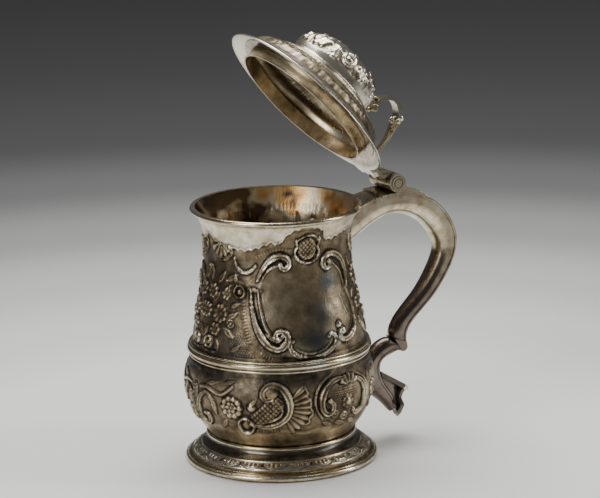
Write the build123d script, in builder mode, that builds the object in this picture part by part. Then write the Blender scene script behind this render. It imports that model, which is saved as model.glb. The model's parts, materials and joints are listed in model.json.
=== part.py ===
"""Silver lidded tankard with a chased baluster body, a double-scroll handle and a hinged domed lid.

Millimetres, +Z up. The origin is the centre of the foot's resting face and the handle points to +X.
Everything on the lid is drawn with the lid shut and is then turned open about the hinge pin.
"""
from build123d import *
import os

os.makedirs("parts", exist_ok=True)

# ---- driving dimensions ----
LIP_Z = 160.2                # height of the rim
LIP_R = 53.0                 # outer radius of the lip moulding
GIRDLE_Z = 71.0              # height of the joint between drum and bowl
WALL = 1.2                   # raised silver sheet
BOWL_BOTTOM_Z = 18.0         # underside of the bowl
BOWL_FLAT_R = 44.0           # radius of the bowl's flat bottom
FOOT_R = 59.7                # outer radius of the foot's edge wire
LID_R = 59.7                 # outer radius of the lid's brim
LID_OPEN = 49.5              # how far the lid stands open, degrees
HINGE_X, HINGE_Z = 78.9, 165.4
BARREL_R = 5.8               # hinge knuckles
PIN_R = 1.6
PIN_PLAY = 0.06              # running clearance of the lid knuckles on the pin
HINGE_HALF = 12.8            # half the length of the hinge barrel
END_KNUCKLE_Y = 8.3          # inner face of each end knuckle
LID_KNUCKLE_Y = (3.0, 8.0)   # inner and outer face of each lid knuckle
MID_KNUCKLE_Y = 2.7          # half the length of the middle knuckle
RUN_GAP = 0.35               # clearance between the barrel and what passes beside it
STRAP = 1.6                  # thickness of the flat strap along the back of the handle
STRAP_OVERHANG = 0.5         # how far the strap stands out past the trough on each side
STRAP_EASE = 0.5             # chamfer of the strap's outer corners

# ---- outlines, (radius, height) ----
DRUM_OUTER = [(54.2, 71.0), (50.6, 96.0), (46.3, 119.0), (44.9, 137.0), (47.2, 151.0), (51.6, 160.0)]
BOWL_OUTER = [(53.6, 71.0), (57.6, 60.0), (58.4, 50.0), (56.5, 38.0), (50.5, 26.5), (44.8, 18.6)]
LID_BRIM = [(57.4, 159.6), (54.6, 161.0), (51.6, 162.1), (49.3, 165.0), (47.6, 168.3)]
LID_STAGE = [(45.0, 169.7), (40.5, 171.4), (36.5, 174.0), (33.0, 175.0)]
LID_NECK = [(31.0, 175.8), (29.3, 178.0)]
LID_DOME = [(29.2, 183.0), (27.0, 190.4), (21.5, 195.2), (12.0, 197.6), (0.0, 198.2)]

# ---- handle stations: (back x, back z), (inside x, inside z), width ----
UPPER_HANDLE = [
    ((43.0, 151.6), (41.0, 122.0), 22.0),
    ((58.0, 155.3), (57.0, 134.8), 22.0),
    ((72.2, 158.0), (72.5, 142.7), 21.0),
    ((86.0, 157.4), (84.0, 143.6), 20.0),
    ((98.5, 154.8), (93.4, 140.6), 19.0),
    ((111.7, 146.8), (102.2, 134.4), 18.0),
    ((121.3, 133.5), (109.0, 125.6), 17.0),
    ((124.1, 120.0), (111.6, 117.4), 16.0),
    ((119.2, 105.3), (108.3, 107.6), 15.0),
    ((108.5, 89.6), (100.2, 95.0), 13.5),
    ((96.6, 77.8), (89.4, 83.6), 12.0),
    ((89.5, 69.2), (80.4, 73.2), 11.0),
    ((88.2, 60.5), (78.2, 64.2), 11.0),
]
LOWER_HANDLE = [
    ((84.6, 55.0), (79.2, 63.8), 11.0),
    ((78.6, 55.2), (74.8, 64.0), 11.5),
    ((72.6, 53.2), (68.2, 61.0), 12.0),
    ((68.8, 49.4), (60.4, 53.6), 12.0),
    ((68.4, 43.4), (56.6, 43.4), 12.0),
    ((70.8, 37.0), (60.2, 32.6), 11.0),
    ((74.8, 31.2), (66.8, 26.0), 9.5),
    ((78.6, 25.8), (72.4, 21.0), 8.0),
    ((82.0, 18.6), (78.0, 15.4), 5.0),
]


def section_plane(back, inside):
    """Plane across the handle at one station: x along world Y, y from the back towards the inside."""
    inward = Vector(inside[0] - back[0], 0, inside[1] - back[1])
    return Plane(origin=(back[0], 0, back[1]), x_dir=(0, 1, 0), z_dir=Vector(0, 1, 0).cross(inward))


def section_depth(back, inside):
    return Vector(inside[0] - back[0], inside[1] - back[1]).length


def trough_section(back, inside, width):
    """U-shaped section: straight sides from the strap, closed by a half ellipse, one wall thick."""
    depth = section_depth(back, inside)
    side = STRAP + 0.35 * (depth - STRAP)
    half = width / 2
    with BuildSketch(section_plane(back, inside)) as sketch:
        with BuildLine():
            outer = EllipticalCenterArc((0, side), half, depth - side, 0, arc_size=180)
            inner = EllipticalCenterArc((0, side), half - WALL, depth - side - WALL, 0, arc_size=180)
            Line(outer @ 1, (-half, STRAP))
            Line((-half, STRAP), (WALL - half, STRAP))
            Line((WALL - half, STRAP), inner @ 1)
            Line(inner @ 0, (half - WALL, STRAP))
            Line((half - WALL, STRAP), (half, STRAP))
            Line((half, STRAP), outer @ 0)
        make_face()
    return sketch.sketch


def strap_section(back, inside, width):
    """Flat bar on the back of the handle, with its outer corners eased."""
    half = width / 2 + STRAP_OVERHANG
    with BuildSketch(section_plane(back, inside)) as sketch:
        with BuildLine():
            Polyline((-half, STRAP), (-half, STRAP_EASE), (STRAP_EASE - half, 0), (half - STRAP_EASE, 0),
                     (half, STRAP_EASE), (half, STRAP), close=True)
        make_face()
    return sketch.sketch


def inwards(points, thickness):
    """The same outline, one thickness nearer the axis."""
    return [(radius - thickness, height) for radius, height in points]


def lined(points, thickness):
    """The same outline on the inner side of a sheet, each point moved square to the outline there."""
    moved = []
    for index, (radius, height) in enumerate(points):
        before = points[max(index - 1, 0)]
        after = points[min(index + 1, len(points) - 1)]
        run = Vector(after[0] - before[0], after[1] - before[1]).normalized()
        moved.append((max(radius - thickness * run.Y, 0), height + thickness * run.X))
    return moved


def finish(builder, label):
    """Give a fixed piece its name and write it."""
    builder.part.label = label
    export_step(builder.part, f"parts/{label}.step")


def finish_on_lid(builder, label):
    """Turn a piece of the lid to the open position, name it and write it."""
    hinge = Axis((HINGE_X, 0, HINGE_Z), (0, 1, 0))
    opened = builder.part.rotate(hinge, LID_OPEN)
    opened.label = label
    export_step(opened, f"parts/{label}.step")


# ================= body =================
with BuildPart() as upper_drum:
    with BuildSketch(Plane.XZ):
        with BuildLine():
            outside = Spline(DRUM_OUTER)
            Line(outside @ 1, (DRUM_OUTER[-1][0] - WALL, DRUM_OUTER[-1][1]))
            inside = Spline(inwards(DRUM_OUTER, WALL)[::-1])
            Line(inside @ 1, outside @ 0)
        make_face()
    revolve(axis=Axis.Z)
finish(upper_drum, "upper_drum")

with BuildPart() as lower_bowl:
    with BuildSketch(Plane.XZ):
        with BuildLine():
            outside = Spline(BOWL_OUTER)
            inside = Spline(inwards(BOWL_OUTER[:-1], WALL) + [(BOWL_FLAT_R, BOWL_BOTTOM_Z + WALL)])
            Line(outside @ 0, inside @ 0)
            Polyline(outside @ 1, (BOWL_FLAT_R, BOWL_BOTTOM_Z), (0, BOWL_BOTTOM_Z),
                     (0, BOWL_BOTTOM_Z + WALL), inside @ 1)
        make_face()
    revolve(axis=Axis.Z)
finish(lower_bowl, "lower_bowl")

# the filled shape of the walls, cut away from whatever is soldered onto them
with BuildPart() as wall_block:
    with BuildSketch(Plane.XZ):
        with BuildLine():
            drum_line = Spline(DRUM_OUTER)
            bowl_line = Spline(BOWL_OUTER)
            Line(drum_line @ 0, bowl_line @ 0)
            Polyline(drum_line @ 1, (0, DRUM_OUTER[-1][1]), (0, BOWL_BOTTOM_Z), (BOWL_FLAT_R, BOWL_BOTTOM_Z),
                     bowl_line @ 1)
        make_face()
    revolve(axis=Axis.Z)

with BuildPart() as lip_moulding:
    with BuildSketch(Plane.XZ):
        with BuildLine():
            Polyline((50.2, LIP_Z - 4.6), (49.0, LIP_Z - 4.6), (49.0, LIP_Z - 0.4), (50.6, LIP_Z),
                     (51.9, LIP_Z))
            top = ThreePointArc((51.9, LIP_Z), (LIP_R, LIP_Z - 1.3), (51.9, LIP_Z - 3.1))
            ThreePointArc(top @ 1, (50.7, LIP_Z - 3.5), (50.2, LIP_Z - 4.6))
        make_face()
    revolve(axis=Axis.Z)
    add(wall_block.part, mode=Mode.SUBTRACT)
finish(lip_moulding, "lip_moulding")

# centre radius, height from the joint, reed radius
GIRDLE_REEDS = [(55.4, 3.1, 0.7), (55.0, 0.4, 2.0), (55.2, -2.6, 0.8)]
with BuildPart() as girdle_moulding:
    with BuildSketch(Plane.XZ):
        with Locations((54.0, GIRDLE_Z)):
            Rectangle(2.6, 7.4)
        for radius, offset_z, reed in GIRDLE_REEDS:
            with Locations((radius, GIRDLE_Z + offset_z)):
                Circle(reed)
    revolve(axis=Axis.Z)
    add(wall_block.part, mode=Mode.SUBTRACT)
finish(girdle_moulding, "girdle_moulding")

# ================= foot =================
FOOT_TOP_R = 44.6
with BuildPart() as foot_ring:
    with BuildSketch(Plane.XZ):
        with BuildLine():
            cove = ThreePointArc((FOOT_TOP_R, 15.8), (46.1, 12.9), (49.3, 11.2))
            shoulder = Line(cove @ 1, (49.8, 10.4))
            band = ThreePointArc(shoulder @ 1, (52.9, 8.7), (55.4, 6.2))
            skirt = Polyline(band @ 1, (57.2, 5.2), (58.2, 4.2), (58.2, 0.0), (56.6, 0.0), (56.4, 3.4))
            under = ThreePointArc(skirt @ 1, (52.0, 7.2), (48.4, 9.6))
            under_cove = ThreePointArc(under @ 1, (44.8, 12.0), (FOOT_TOP_R - 1.5, 15.8))
            Polyline(under_cove @ 1, (FOOT_TOP_R - 1.5, BOWL_BOTTOM_Z), (BOWL_FLAT_R, BOWL_BOTTOM_Z),
                     (FOOT_TOP_R, BOWL_BOTTOM_Z - 0.4), (FOOT_TOP_R, 15.8))
        make_face()
    revolve(axis=Axis.Z)
    add(wall_block.part, mode=Mode.SUBTRACT)
finish(foot_ring, "foot_ring")

with BuildPart() as foot_collar:
    with BuildSketch(Plane.XZ):
        with Locations((45.2, 17.1)):
            Circle(1.3)
    revolve(axis=Axis.Z)
    add(wall_block.part, mode=Mode.SUBTRACT)
    add(foot_ring.part, mode=Mode.SUBTRACT)
finish(foot_collar, "foot_collar")

with BuildPart() as foot_edge_wire:
    with BuildSketch(Plane.XZ):
        with BuildLine():
            bulge = ThreePointArc((58.2, 0.3), (FOOT_R, 2.1), (58.2, 4.1))
            Line(bulge @ 1, bulge @ 0)
        make_face()
    revolve(axis=Axis.Z)
finish(foot_edge_wire, "foot_edge_wire")

# ================= handle =================
PAD = 1.4                    # thickness of the pads between handle and body
with BuildPart() as padded_wall:
    with BuildSketch(Plane.XZ):
        with BuildLine():
            drum_line = Spline(inwards(DRUM_OUTER, -PAD))
            bowl_line = Spline(inwards(BOWL_OUTER, -PAD))
            Line(drum_line @ 0, bowl_line @ 0)
            Polyline(drum_line @ 1, (0, DRUM_OUTER[-1][1]), (0, BOWL_BOTTOM_Z), bowl_line @ 1)
        make_face()
    revolve(axis=Axis.Z)

with BuildPart() as upper_handle_pad:
    with BuildSketch(Plane.YZ.offset(UPPER_HANDLE[0][0][0] - 3)):
        with Locations((0, 139.5)):
            Ellipse(14.5, 15.5)
    extrude(amount=FOOT_R / 2)
    add(padded_wall.part, mode=Mode.INTERSECT)
    add(wall_block.part, mode=Mode.SUBTRACT)
finish(upper_handle_pad, "upper_handle_pad")

with BuildPart() as lower_handle_pad:
    with BuildSketch(Plane.YZ.offset(LIP_R - 5)):
        with Locations((0, 47.5)):
            Ellipse(8.5, 13.0)
    extrude(amount=FOOT_R / 2)
    add(padded_wall.part, mode=Mode.INTERSECT)
    add(wall_block.part, mode=Mode.SUBTRACT)
finish(lower_handle_pad, "lower_handle_pad")

with BuildPart() as handle_upper_trough:
    loft([trough_section(*station) for station in UPPER_HANDLE])
    for neighbour in (wall_block, lip_moulding, upper_handle_pad):
        add(neighbour.part, mode=Mode.SUBTRACT)
finish(handle_upper_trough, "handle_upper_trough")

with BuildPart() as handle_upper_strap:
    loft([strap_section(*station) for station in UPPER_HANDLE])
    for neighbour in (wall_block, lip_moulding, upper_handle_pad, handle_upper_trough):
        add(neighbour.part, mode=Mode.SUBTRACT)
finish(handle_upper_strap, "handle_upper_strap")

with BuildPart() as handle_lower_trough:
    loft([trough_section(*station) for station in LOWER_HANDLE])
    for neighbour in (wall_block, lower_handle_pad):
        add(neighbour.part, mode=Mode.SUBTRACT)
finish(handle_lower_trough, "handle_lower_trough")

with BuildPart() as handle_lower_strap:
    loft([strap_section(*station) for station in LOWER_HANDLE])
    for neighbour in (wall_block, lower_handle_pad, handle_lower_trough):
        add(neighbour.part, mode=Mode.SUBTRACT)
finish(handle_lower_strap, "handle_lower_strap")

HANDLE_SHEET = (handle_upper_trough, handle_upper_strap, handle_lower_trough, handle_lower_strap)
SPUR_HALF = 6.0
with BuildPart() as handle_spur:
    with BuildSketch(Plane.XZ):
        with BuildLine():
            spur = Polyline((79.2, 63.8), (88.2, 60.5), (88.5, 57.4))
            tip = ThreePointArc(spur @ 1, (87.2, 55.4), (84.6, 55.0))
            Line(tip @ 1, spur @ 0)
        make_face()
    extrude(amount=SPUR_HALF, both=True)
    for neighbour in HANDLE_SHEET:
        add(neighbour.part, mode=Mode.SUBTRACT)
finish(handle_spur, "handle_spur")

SHIELD_HALF = 8.0            # half the width of the tail shield across its ears
WEB_HALF = 2.6               # half the thickness of the web behind the shield
with BuildPart() as tail_shield:
    with BuildSketch(Plane.XZ):
        with BuildLine():
            Polyline((69.0, 44.0), (85.6, 33.6), (86.4, 31.4), (84.4, 28.2), (83.8, 24.0), (85.4, 19.5),
                     (84.6, 13.2), (83.6, 10.8), (82.2, 12.6), (82.6, 18.6), (81.8, 24.2), (82.4, 29.0),
                     (83.2, 31.4), (69.0, 41.2), close=True)
        make_face()
    extrude(amount=SHIELD_HALF, both=True)
    with BuildSketch(Plane.YZ.offset(LIP_R)):
        with BuildLine():
            half_outline = Polyline((0, 46), (6.2, 46), (SHIELD_HALF, 31), (5.4, 25), (6.6, 20), (3.4, 14),
                                    (0, 10))
            mirror(half_outline, about=Plane.YZ)
        make_face()
    extrude(amount=LIP_R, mode=Mode.INTERSECT)
    with BuildSketch(Plane.XZ):
        with BuildLine():
            Polyline((69.4, 42.6), (84.0, 32.6), (83.0, 28.0), (82.6, 24.0), (84.0, 19.5), (83.4, 13.0),
                     (82.0, 15.0), (76.5, 22.5), (71.0, 30.5), close=True)
        make_face()
    extrude(amount=WEB_HALF, both=True)
    for neighbour in HANDLE_SHEET:
        add(neighbour.part, mode=Mode.SUBTRACT)
finish(tail_shield, "tail_shield")

BEAD_R = 1.9
with BuildPart() as tail_bead:
    with BuildSketch(Plane.XZ.offset(-SHIELD_HALF - 0.6)):
        with Locations((85.6, 31.4)):
            Circle(BEAD_R)
    extrude(amount=2 * SHIELD_HALF + 1.2)
    fillet(tail_bead.edges(), radius=0.8)
    add(tail_shield.part, mode=Mode.SUBTRACT)
finish(tail_bead, "tail_bead")

# ================= hinge, the half on the handle =================
SADDLE_HALF = 12.4
with BuildPart() as hinge_saddle:
    with BuildSketch(Plane.XZ):
        with BuildLine():
            crown = Spline((68.0, 158.8), (HINGE_X, 159.2), (90.0, 158.3), (99.0, 155.9))
            Polyline(crown @ 1, (97.0, 150.0), (68.0, 150.0), crown @ 0)
        make_face()
    extrude(amount=SADDLE_HALF, both=True)
    with BuildSketch(Plane.XZ):
        with BuildLine():
            belly = Spline((66.0, 157.0), (72.2, 157.9), (86.0, 157.3), (100.0, 153.9))
            Polyline(belly @ 1, (100.0, 149.0), (66.0, 149.0), belly @ 0)
        make_face()
    extrude(amount=SADDLE_HALF + 1, both=True, mode=Mode.SUBTRACT)
    for neighbour in (handle_upper_strap, handle_upper_trough):
        add(neighbour.part, mode=Mode.SUBTRACT)
finish(hinge_saddle, "hinge_saddle")

with BuildPart() as handle_knuckles:
    for low, high in ((-HINGE_HALF, -END_KNUCKLE_Y), (-MID_KNUCKLE_Y, MID_KNUCKLE_Y),
                      (END_KNUCKLE_Y, HINGE_HALF)):
        with BuildSketch(Plane.XZ.offset(-high)):
            with Locations((HINGE_X, HINGE_Z)):
                Circle(BARREL_R)
            with BuildLine():
                Polyline((HINGE_X, HINGE_Z - BARREL_R), (95.0, 156.4), (95.4, 158.0), (84.0, 163.4),
                         (HINGE_X, HINGE_Z), close=True)
            make_face()
            with Locations((HINGE_X, HINGE_Z)):
                Circle(PIN_R, mode=Mode.SUBTRACT)
        extrude(amount=high - low)
    add(hinge_saddle.part, mode=Mode.SUBTRACT)
    add(handle_upper_strap.part, mode=Mode.SUBTRACT)
finish(handle_knuckles, "handle_knuckles")

with BuildPart() as hinge_pin:
    with BuildSketch(Plane.XZ.offset(-HINGE_HALF)):
        with Locations((HINGE_X, HINGE_Z)):
            Circle(PIN_R)
    extrude(amount=2 * HINGE_HALF)
finish(hinge_pin, "hinge_pin")

CAP_R = 4.1
CAP_T = 0.8
with BuildPart() as hinge_end_caps:
    for base in (HINGE_HALF, -HINGE_HALF - CAP_T):
        with BuildSketch(Plane.XZ.offset(-base - CAP_T)):
            with Locations((HINGE_X, HINGE_Z)):
                Circle(CAP_R)
        extrude(amount=CAP_T)
    for face_y, step in ((HINGE_HALF + CAP_T, 1), (-HINGE_HALF - CAP_T, -1)):
        with BuildSketch(Plane.XZ.offset(-face_y)):
            with Locations((HINGE_X, HINGE_Z)):
                Circle(CAP_R - 0.8)
                Circle(CAP_R - 1.7, mode=Mode.SUBTRACT)
        extrude(amount=step * CAP_T / 2, mode=Mode.SUBTRACT)
finish(hinge_end_caps, "hinge_end_caps")

# rat-tail drop down the back of the handle: overlapping scales, each narrower than the last
SCALES = 6
SCALE_LAP = 1.3              # each scale's length as a multiple of the spacing
DROP_WIDTH, DROP_TAPER = 9.0, 1.1
DROP_HEIGHT, DROP_THINNING = 1.7, 0.16
drop_path = ThreePointArc((91.5, 0, 157.4), (100.8, 0, 154.7), (108.7, 0, 150.0))
with BuildPart() as hinge_drop:
    for index in range(SCALES):
        width = DROP_WIDTH - DROP_TAPER * index
        height = DROP_HEIGHT - DROP_THINNING * index
        start = index / SCALES
        end = min(start + SCALE_LAP / SCALES, 1)
        with BuildSketch(Plane(origin=drop_path @ start, x_dir=(0, 1, 0), z_dir=drop_path % start)):
            Rectangle(width, 2 * height)
        with BuildSketch(Plane(origin=drop_path @ end, x_dir=(0, 1, 0), z_dir=drop_path % end)):
            Rectangle(0.8 * width, height)
        loft()
    for neighbour in (handle_upper_strap, handle_upper_trough, hinge_saddle, handle_knuckles):
        add(neighbour.part, mode=Mode.SUBTRACT)
finish(hinge_drop, "hinge_drop")

# ================= lid =================
LID_WALL = 1.1
LID_OUTSIDE = LID_BRIM + LID_STAGE + LID_NECK + LID_DOME
LID_INSIDE = lined(LID_OUTSIDE, LID_WALL)
BRIM_END = len(LID_BRIM) - 1
STAGE_END = BRIM_END + len(LID_STAGE)
NECK_END = STAGE_END + len(LID_NECK)


with BuildPart() as lid_shell:
    with BuildSketch(Plane.XZ):
        with BuildLine():
            edge = ThreePointArc((58.7, 157.3), (LID_R, 157.9), (59.1, 158.7))
            Line(edge @ 1, LID_OUTSIDE[0])
            Line(edge @ 0, LID_INSIDE[0])
            for points in (LID_OUTSIDE, LID_INSIDE):
                Spline(points[:BRIM_END + 1])
                Spline(points[BRIM_END:STAGE_END + 1])
                Polyline(points[STAGE_END:NECK_END + 1])
                Spline(points[NECK_END:])
            Line(LID_OUTSIDE[-1], LID_INSIDE[-1])
        make_face()
    revolve(axis=Axis.Z)
finish_on_lid(lid_shell, "lid_shell")

BEZEL_R = 45.9               # outer radius of the bezel that drops inside the rim
BEZEL_WALL = 1.0
BEZEL_LOW, BEZEL_SEAT = 153.6, LIP_Z + 0.4
with BuildPart() as lid_bezel:
    with BuildSketch(Plane.XZ):
        with BuildLine():
            Polyline((BEZEL_R - BEZEL_WALL, BEZEL_LOW), (BEZEL_R, BEZEL_LOW), (BEZEL_R, BEZEL_SEAT),
                     (51.6, BEZEL_SEAT), (51.6, BEZEL_SEAT + 1.2), (BEZEL_R - BEZEL_WALL, BEZEL_SEAT + 1.2),
                     close=True)
        make_face()
    revolve(axis=Axis.Z)
    add(lid_shell.part, mode=Mode.SUBTRACT)
finish_on_lid(lid_bezel, "lid_bezel")

STEP_REEDS = [(34.6, 174.9, 0.7), (32.4, 175.6, 0.9)]    # radius, height, reed radius
with BuildPart() as lid_step_moulding:
    with BuildSketch(Plane.XZ):
        for radius, height, reed in STEP_REEDS:
            with Locations((radius, height)):
                Circle(reed)
        with Locations((33.5, 175.0)):
            Rectangle(2.0, 0.8)
    revolve(axis=Axis.Z)
    add(lid_shell.part, mode=Mode.SUBTRACT)
finish_on_lid(lid_step_moulding, "lid_step_moulding")

# ================= hinge, the half on the lid =================
ARM_HALF = 9.5
with BuildPart() as lid_hinge_arm:
    with BuildSketch(Plane.XZ):
        with BuildLine():
            Polyline((54.0, 162.6), (69.3, 162.6), (74.0, 168.9), (75.6, 167.8), (70.4, 160.6),
                     (57.0, 160.6), (54.0, 158.6), close=True)
        make_face()
    extrude(amount=ARM_HALF, both=True)
    with BuildSketch(Plane.XZ.offset(-ARM_HALF - 1)):
        with Locations((HINGE_X, HINGE_Z)):
            Circle(BARREL_R + RUN_GAP)
    extrude(amount=2 * ARM_HALF + 2, mode=Mode.SUBTRACT)
    with BuildSketch(Plane.XY.offset(LIP_Z - 5)):
        Circle(57.0)
    extrude(amount=20, mode=Mode.SUBTRACT)
    add(lid_shell.part, mode=Mode.SUBTRACT)
finish_on_lid(lid_hinge_arm, "lid_hinge_arm")

with BuildPart() as lid_knuckles:
    for low, high in ((-LID_KNUCKLE_Y[1], -LID_KNUCKLE_Y[0]), LID_KNUCKLE_Y):
        with BuildSketch(Plane.XZ.offset(-high)):
            with Locations((HINGE_X, HINGE_Z)):
                Circle(BARREL_R)
            with BuildLine():
                Polyline((HINGE_X, HINGE_Z), (75.4, 169.9), (73.6, 169.2), (69.8, 163.8), (71.0, 161.4),
                         (74.6, 161.4), close=True)
            make_face()
            with Locations((HINGE_X, HINGE_Z)):
                Circle(PIN_R + PIN_PLAY, mode=Mode.SUBTRACT)
        extrude(amount=high - low)
    add(lid_hinge_arm.part, mode=Mode.SUBTRACT)
finish_on_lid(lid_knuckles, "lid_knuckles")

# three-lobed tab under the brim, hanging over the gap in front of the hinge
TAB_T = 1.0
with BuildPart() as lid_brim_tab:
    with BuildSketch(Plane.XZ):
        with BuildLine():
            Polyline((57.2, 158.6), (59.2, 158.0), (66.6, 158.4), (66.6, 159.4), (59.6, 159.2),
                     (57.2, 159.2), close=True)
        make_face()
    extrude(amount=ARM_HALF, both=True)
    with BuildSketch(Plane.XY.offset(LIP_Z - 5)):
        with Locations((58.5, 0)):
            Rectangle(8, 2 * ARM_HALF)
        for lobe_y in (-6.3, 0, 6.3):
            with Locations((63.0, lobe_y)):
                Circle(3.1)
    extrude(amount=8, mode=Mode.INTERSECT)
    add(lid_shell.part, mode=Mode.SUBTRACT)
    add(lid_hinge_arm.part, mode=Mode.SUBTRACT)
finish_on_lid(lid_brim_tab, "lid_brim_tab")

# ================= thumbpiece =================
# stem stations: centre (x, z), thickness, width
STEM = [
    ((60.4, 161.8), 2.6, 8.0),
    ((60.0, 168.0), 2.0, 6.2),
    ((59.4, 176.0), 1.9, 6.0),
    ((58.2, 184.0), 2.2, 7.0),
    ((55.9, 190.5), 2.8, 9.0),
    ((54.8, 194.0), 3.4, 9.6),
]
with BuildPart() as thumb_stem:
    for index, ((x, z), thickness, width) in enumerate(STEM):
        before = STEM[max(index - 1, 0)][0]
        after = STEM[min(index + 1, len(STEM) - 1)][0]
        run = Vector(after[0] - before[0], 0, after[1] - before[1])
        with BuildSketch(Plane(origin=(x, 0, z), x_dir=(0, 1, 0), z_dir=run)):
            Ellipse(width / 2, thickness / 2)
    loft()
    add(lid_hinge_arm.part, mode=Mode.SUBTRACT)
    add(lid_shell.part, mode=Mode.SUBTRACT)
finish_on_lid(thumb_stem, "thumb_stem")

SCROLL_HALF = 3.6
with BuildPart() as thumb_scroll:
    with BuildSketch(Plane.XZ):
        with BuildLine():
            over = Spline((35.0, 188.9), (35.1, 194.1), (37.7, 199.2), (42.8, 202.4), (48.9, 201.9),
                          (54.8, 197.1))
            under = Spline((53.2, 195.2), (47.8, 199.6), (43.4, 200.2), (39.6, 197.9), (37.3, 194.0),
                           (36.9, 189.2))
            Line(over @ 1, under @ 0)
            Line(under @ 1, over @ 0)
        make_face()
    extrude(amount=SCROLL_HALF, both=True)
    add(thumb_stem.part, mode=Mode.SUBTRACT)
finish_on_lid(thumb_scroll, "thumb_scroll")

with BuildPart() as thumb_volute:
    with BuildSketch(Plane.XZ.offset(-SCROLL_HALF - 0.5)):
        with Locations((36.4, 188.4)):
            Circle(2.3)
    extrude(amount=2 * SCROLL_HALF + 1)
    fillet(thumb_volute.edges(), radius=0.6)
    with Locations((34.0, 0, 193.6)):
        Sphere(1.4)
    with Locations((35.6, 0, 185.6)):
        Sphere(1.5)
    add(thumb_scroll.part, mode=Mode.SUBTRACT)
finish_on_lid(thumb_volute, "thumb_volute")

KNOT = (54.7, 193.8)         # centre of the knot where the stem meets the scroll, (x, z)
KNOT_R = 2.9
KNOT_BEAD_R, KNOT_BEAD_Y = 1.9, 3.7
END_BALL_R = 2.4
with BuildPart() as thumb_ball:
    with Locations((KNOT[0], 0, KNOT[1])):
        Sphere(KNOT_R)
    with Locations((KNOT[0], KNOT_BEAD_Y, KNOT[1]), (KNOT[0], -KNOT_BEAD_Y, KNOT[1])):
        Sphere(KNOT_BEAD_R)
    with Locations((KNOT[0] + 1.4, 0, KNOT[1] + 3.7)):
        Sphere(END_BALL_R)
    add(thumb_scroll.part, mode=Mode.SUBTRACT)
    add(thumb_stem.part, mode=Mode.SUBTRACT)
finish_on_lid(thumb_ball, "thumb_ball")
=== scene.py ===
# %% [markdown]
# # A chased silver tankard
#
# The tankard arrives as a finished mechanical model: walls, foot, hollow handle, hinge and lid, each
# its own node. That model is the fixed frame. This lesson gives it its looks: the repousse ornament
# on the walls, the flowers on the lid, the engraved foot, and silver that has tarnished in the
# hollows and stayed bright where hands have rubbed it.

# %% Load the frame
import json
import math

import bpy
import numpy as np
from mathutils import Matrix, Vector
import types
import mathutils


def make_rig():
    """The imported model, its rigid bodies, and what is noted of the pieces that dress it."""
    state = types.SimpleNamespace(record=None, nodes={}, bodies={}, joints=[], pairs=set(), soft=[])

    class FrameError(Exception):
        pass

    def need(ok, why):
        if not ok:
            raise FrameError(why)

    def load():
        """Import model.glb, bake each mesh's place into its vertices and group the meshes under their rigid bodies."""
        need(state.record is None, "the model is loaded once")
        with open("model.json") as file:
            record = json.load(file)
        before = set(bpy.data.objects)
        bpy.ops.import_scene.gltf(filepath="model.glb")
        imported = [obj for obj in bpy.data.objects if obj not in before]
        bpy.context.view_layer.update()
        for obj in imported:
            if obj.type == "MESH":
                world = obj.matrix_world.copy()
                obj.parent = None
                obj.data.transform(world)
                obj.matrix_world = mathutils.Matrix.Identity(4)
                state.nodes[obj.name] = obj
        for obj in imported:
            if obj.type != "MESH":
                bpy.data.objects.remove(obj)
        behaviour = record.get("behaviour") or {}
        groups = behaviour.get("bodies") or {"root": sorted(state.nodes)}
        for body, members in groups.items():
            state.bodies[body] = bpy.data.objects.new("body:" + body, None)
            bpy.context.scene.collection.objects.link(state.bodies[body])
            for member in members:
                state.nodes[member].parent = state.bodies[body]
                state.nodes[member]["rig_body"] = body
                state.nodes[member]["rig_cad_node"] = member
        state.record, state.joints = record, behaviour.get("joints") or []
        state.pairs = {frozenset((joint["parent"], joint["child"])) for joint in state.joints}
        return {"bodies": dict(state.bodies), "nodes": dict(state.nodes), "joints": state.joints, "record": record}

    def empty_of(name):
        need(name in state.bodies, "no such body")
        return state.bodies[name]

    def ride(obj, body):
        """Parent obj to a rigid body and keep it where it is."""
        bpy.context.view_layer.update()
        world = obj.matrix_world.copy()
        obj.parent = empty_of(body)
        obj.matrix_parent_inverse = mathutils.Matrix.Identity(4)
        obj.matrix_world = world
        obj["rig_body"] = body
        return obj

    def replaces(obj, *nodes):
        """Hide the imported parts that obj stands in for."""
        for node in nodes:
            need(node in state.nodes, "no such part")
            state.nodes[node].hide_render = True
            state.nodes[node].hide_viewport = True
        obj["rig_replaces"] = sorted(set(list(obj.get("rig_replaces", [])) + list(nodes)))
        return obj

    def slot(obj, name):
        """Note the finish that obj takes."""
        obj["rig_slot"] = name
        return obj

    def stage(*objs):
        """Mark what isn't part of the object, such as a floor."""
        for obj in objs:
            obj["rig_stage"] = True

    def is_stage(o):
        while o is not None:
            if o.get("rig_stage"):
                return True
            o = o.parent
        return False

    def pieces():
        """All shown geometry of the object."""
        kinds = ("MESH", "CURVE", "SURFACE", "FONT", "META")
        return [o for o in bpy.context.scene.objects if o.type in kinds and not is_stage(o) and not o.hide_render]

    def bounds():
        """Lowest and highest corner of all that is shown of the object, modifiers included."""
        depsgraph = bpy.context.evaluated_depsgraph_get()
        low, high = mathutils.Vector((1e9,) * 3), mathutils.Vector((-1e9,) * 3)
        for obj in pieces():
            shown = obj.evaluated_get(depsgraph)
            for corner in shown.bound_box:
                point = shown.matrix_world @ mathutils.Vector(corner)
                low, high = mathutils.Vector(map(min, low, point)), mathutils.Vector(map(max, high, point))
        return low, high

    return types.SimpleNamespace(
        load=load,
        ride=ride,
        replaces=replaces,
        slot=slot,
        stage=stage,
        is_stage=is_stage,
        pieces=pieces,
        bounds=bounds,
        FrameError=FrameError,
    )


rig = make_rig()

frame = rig.load()
cad_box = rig.bounds()
nodes = frame["nodes"]
MM = 0.001
print("nodes", len(nodes), "box mm", [[round(c / MM, 1) for c in corner] for corner in cad_box])

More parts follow.
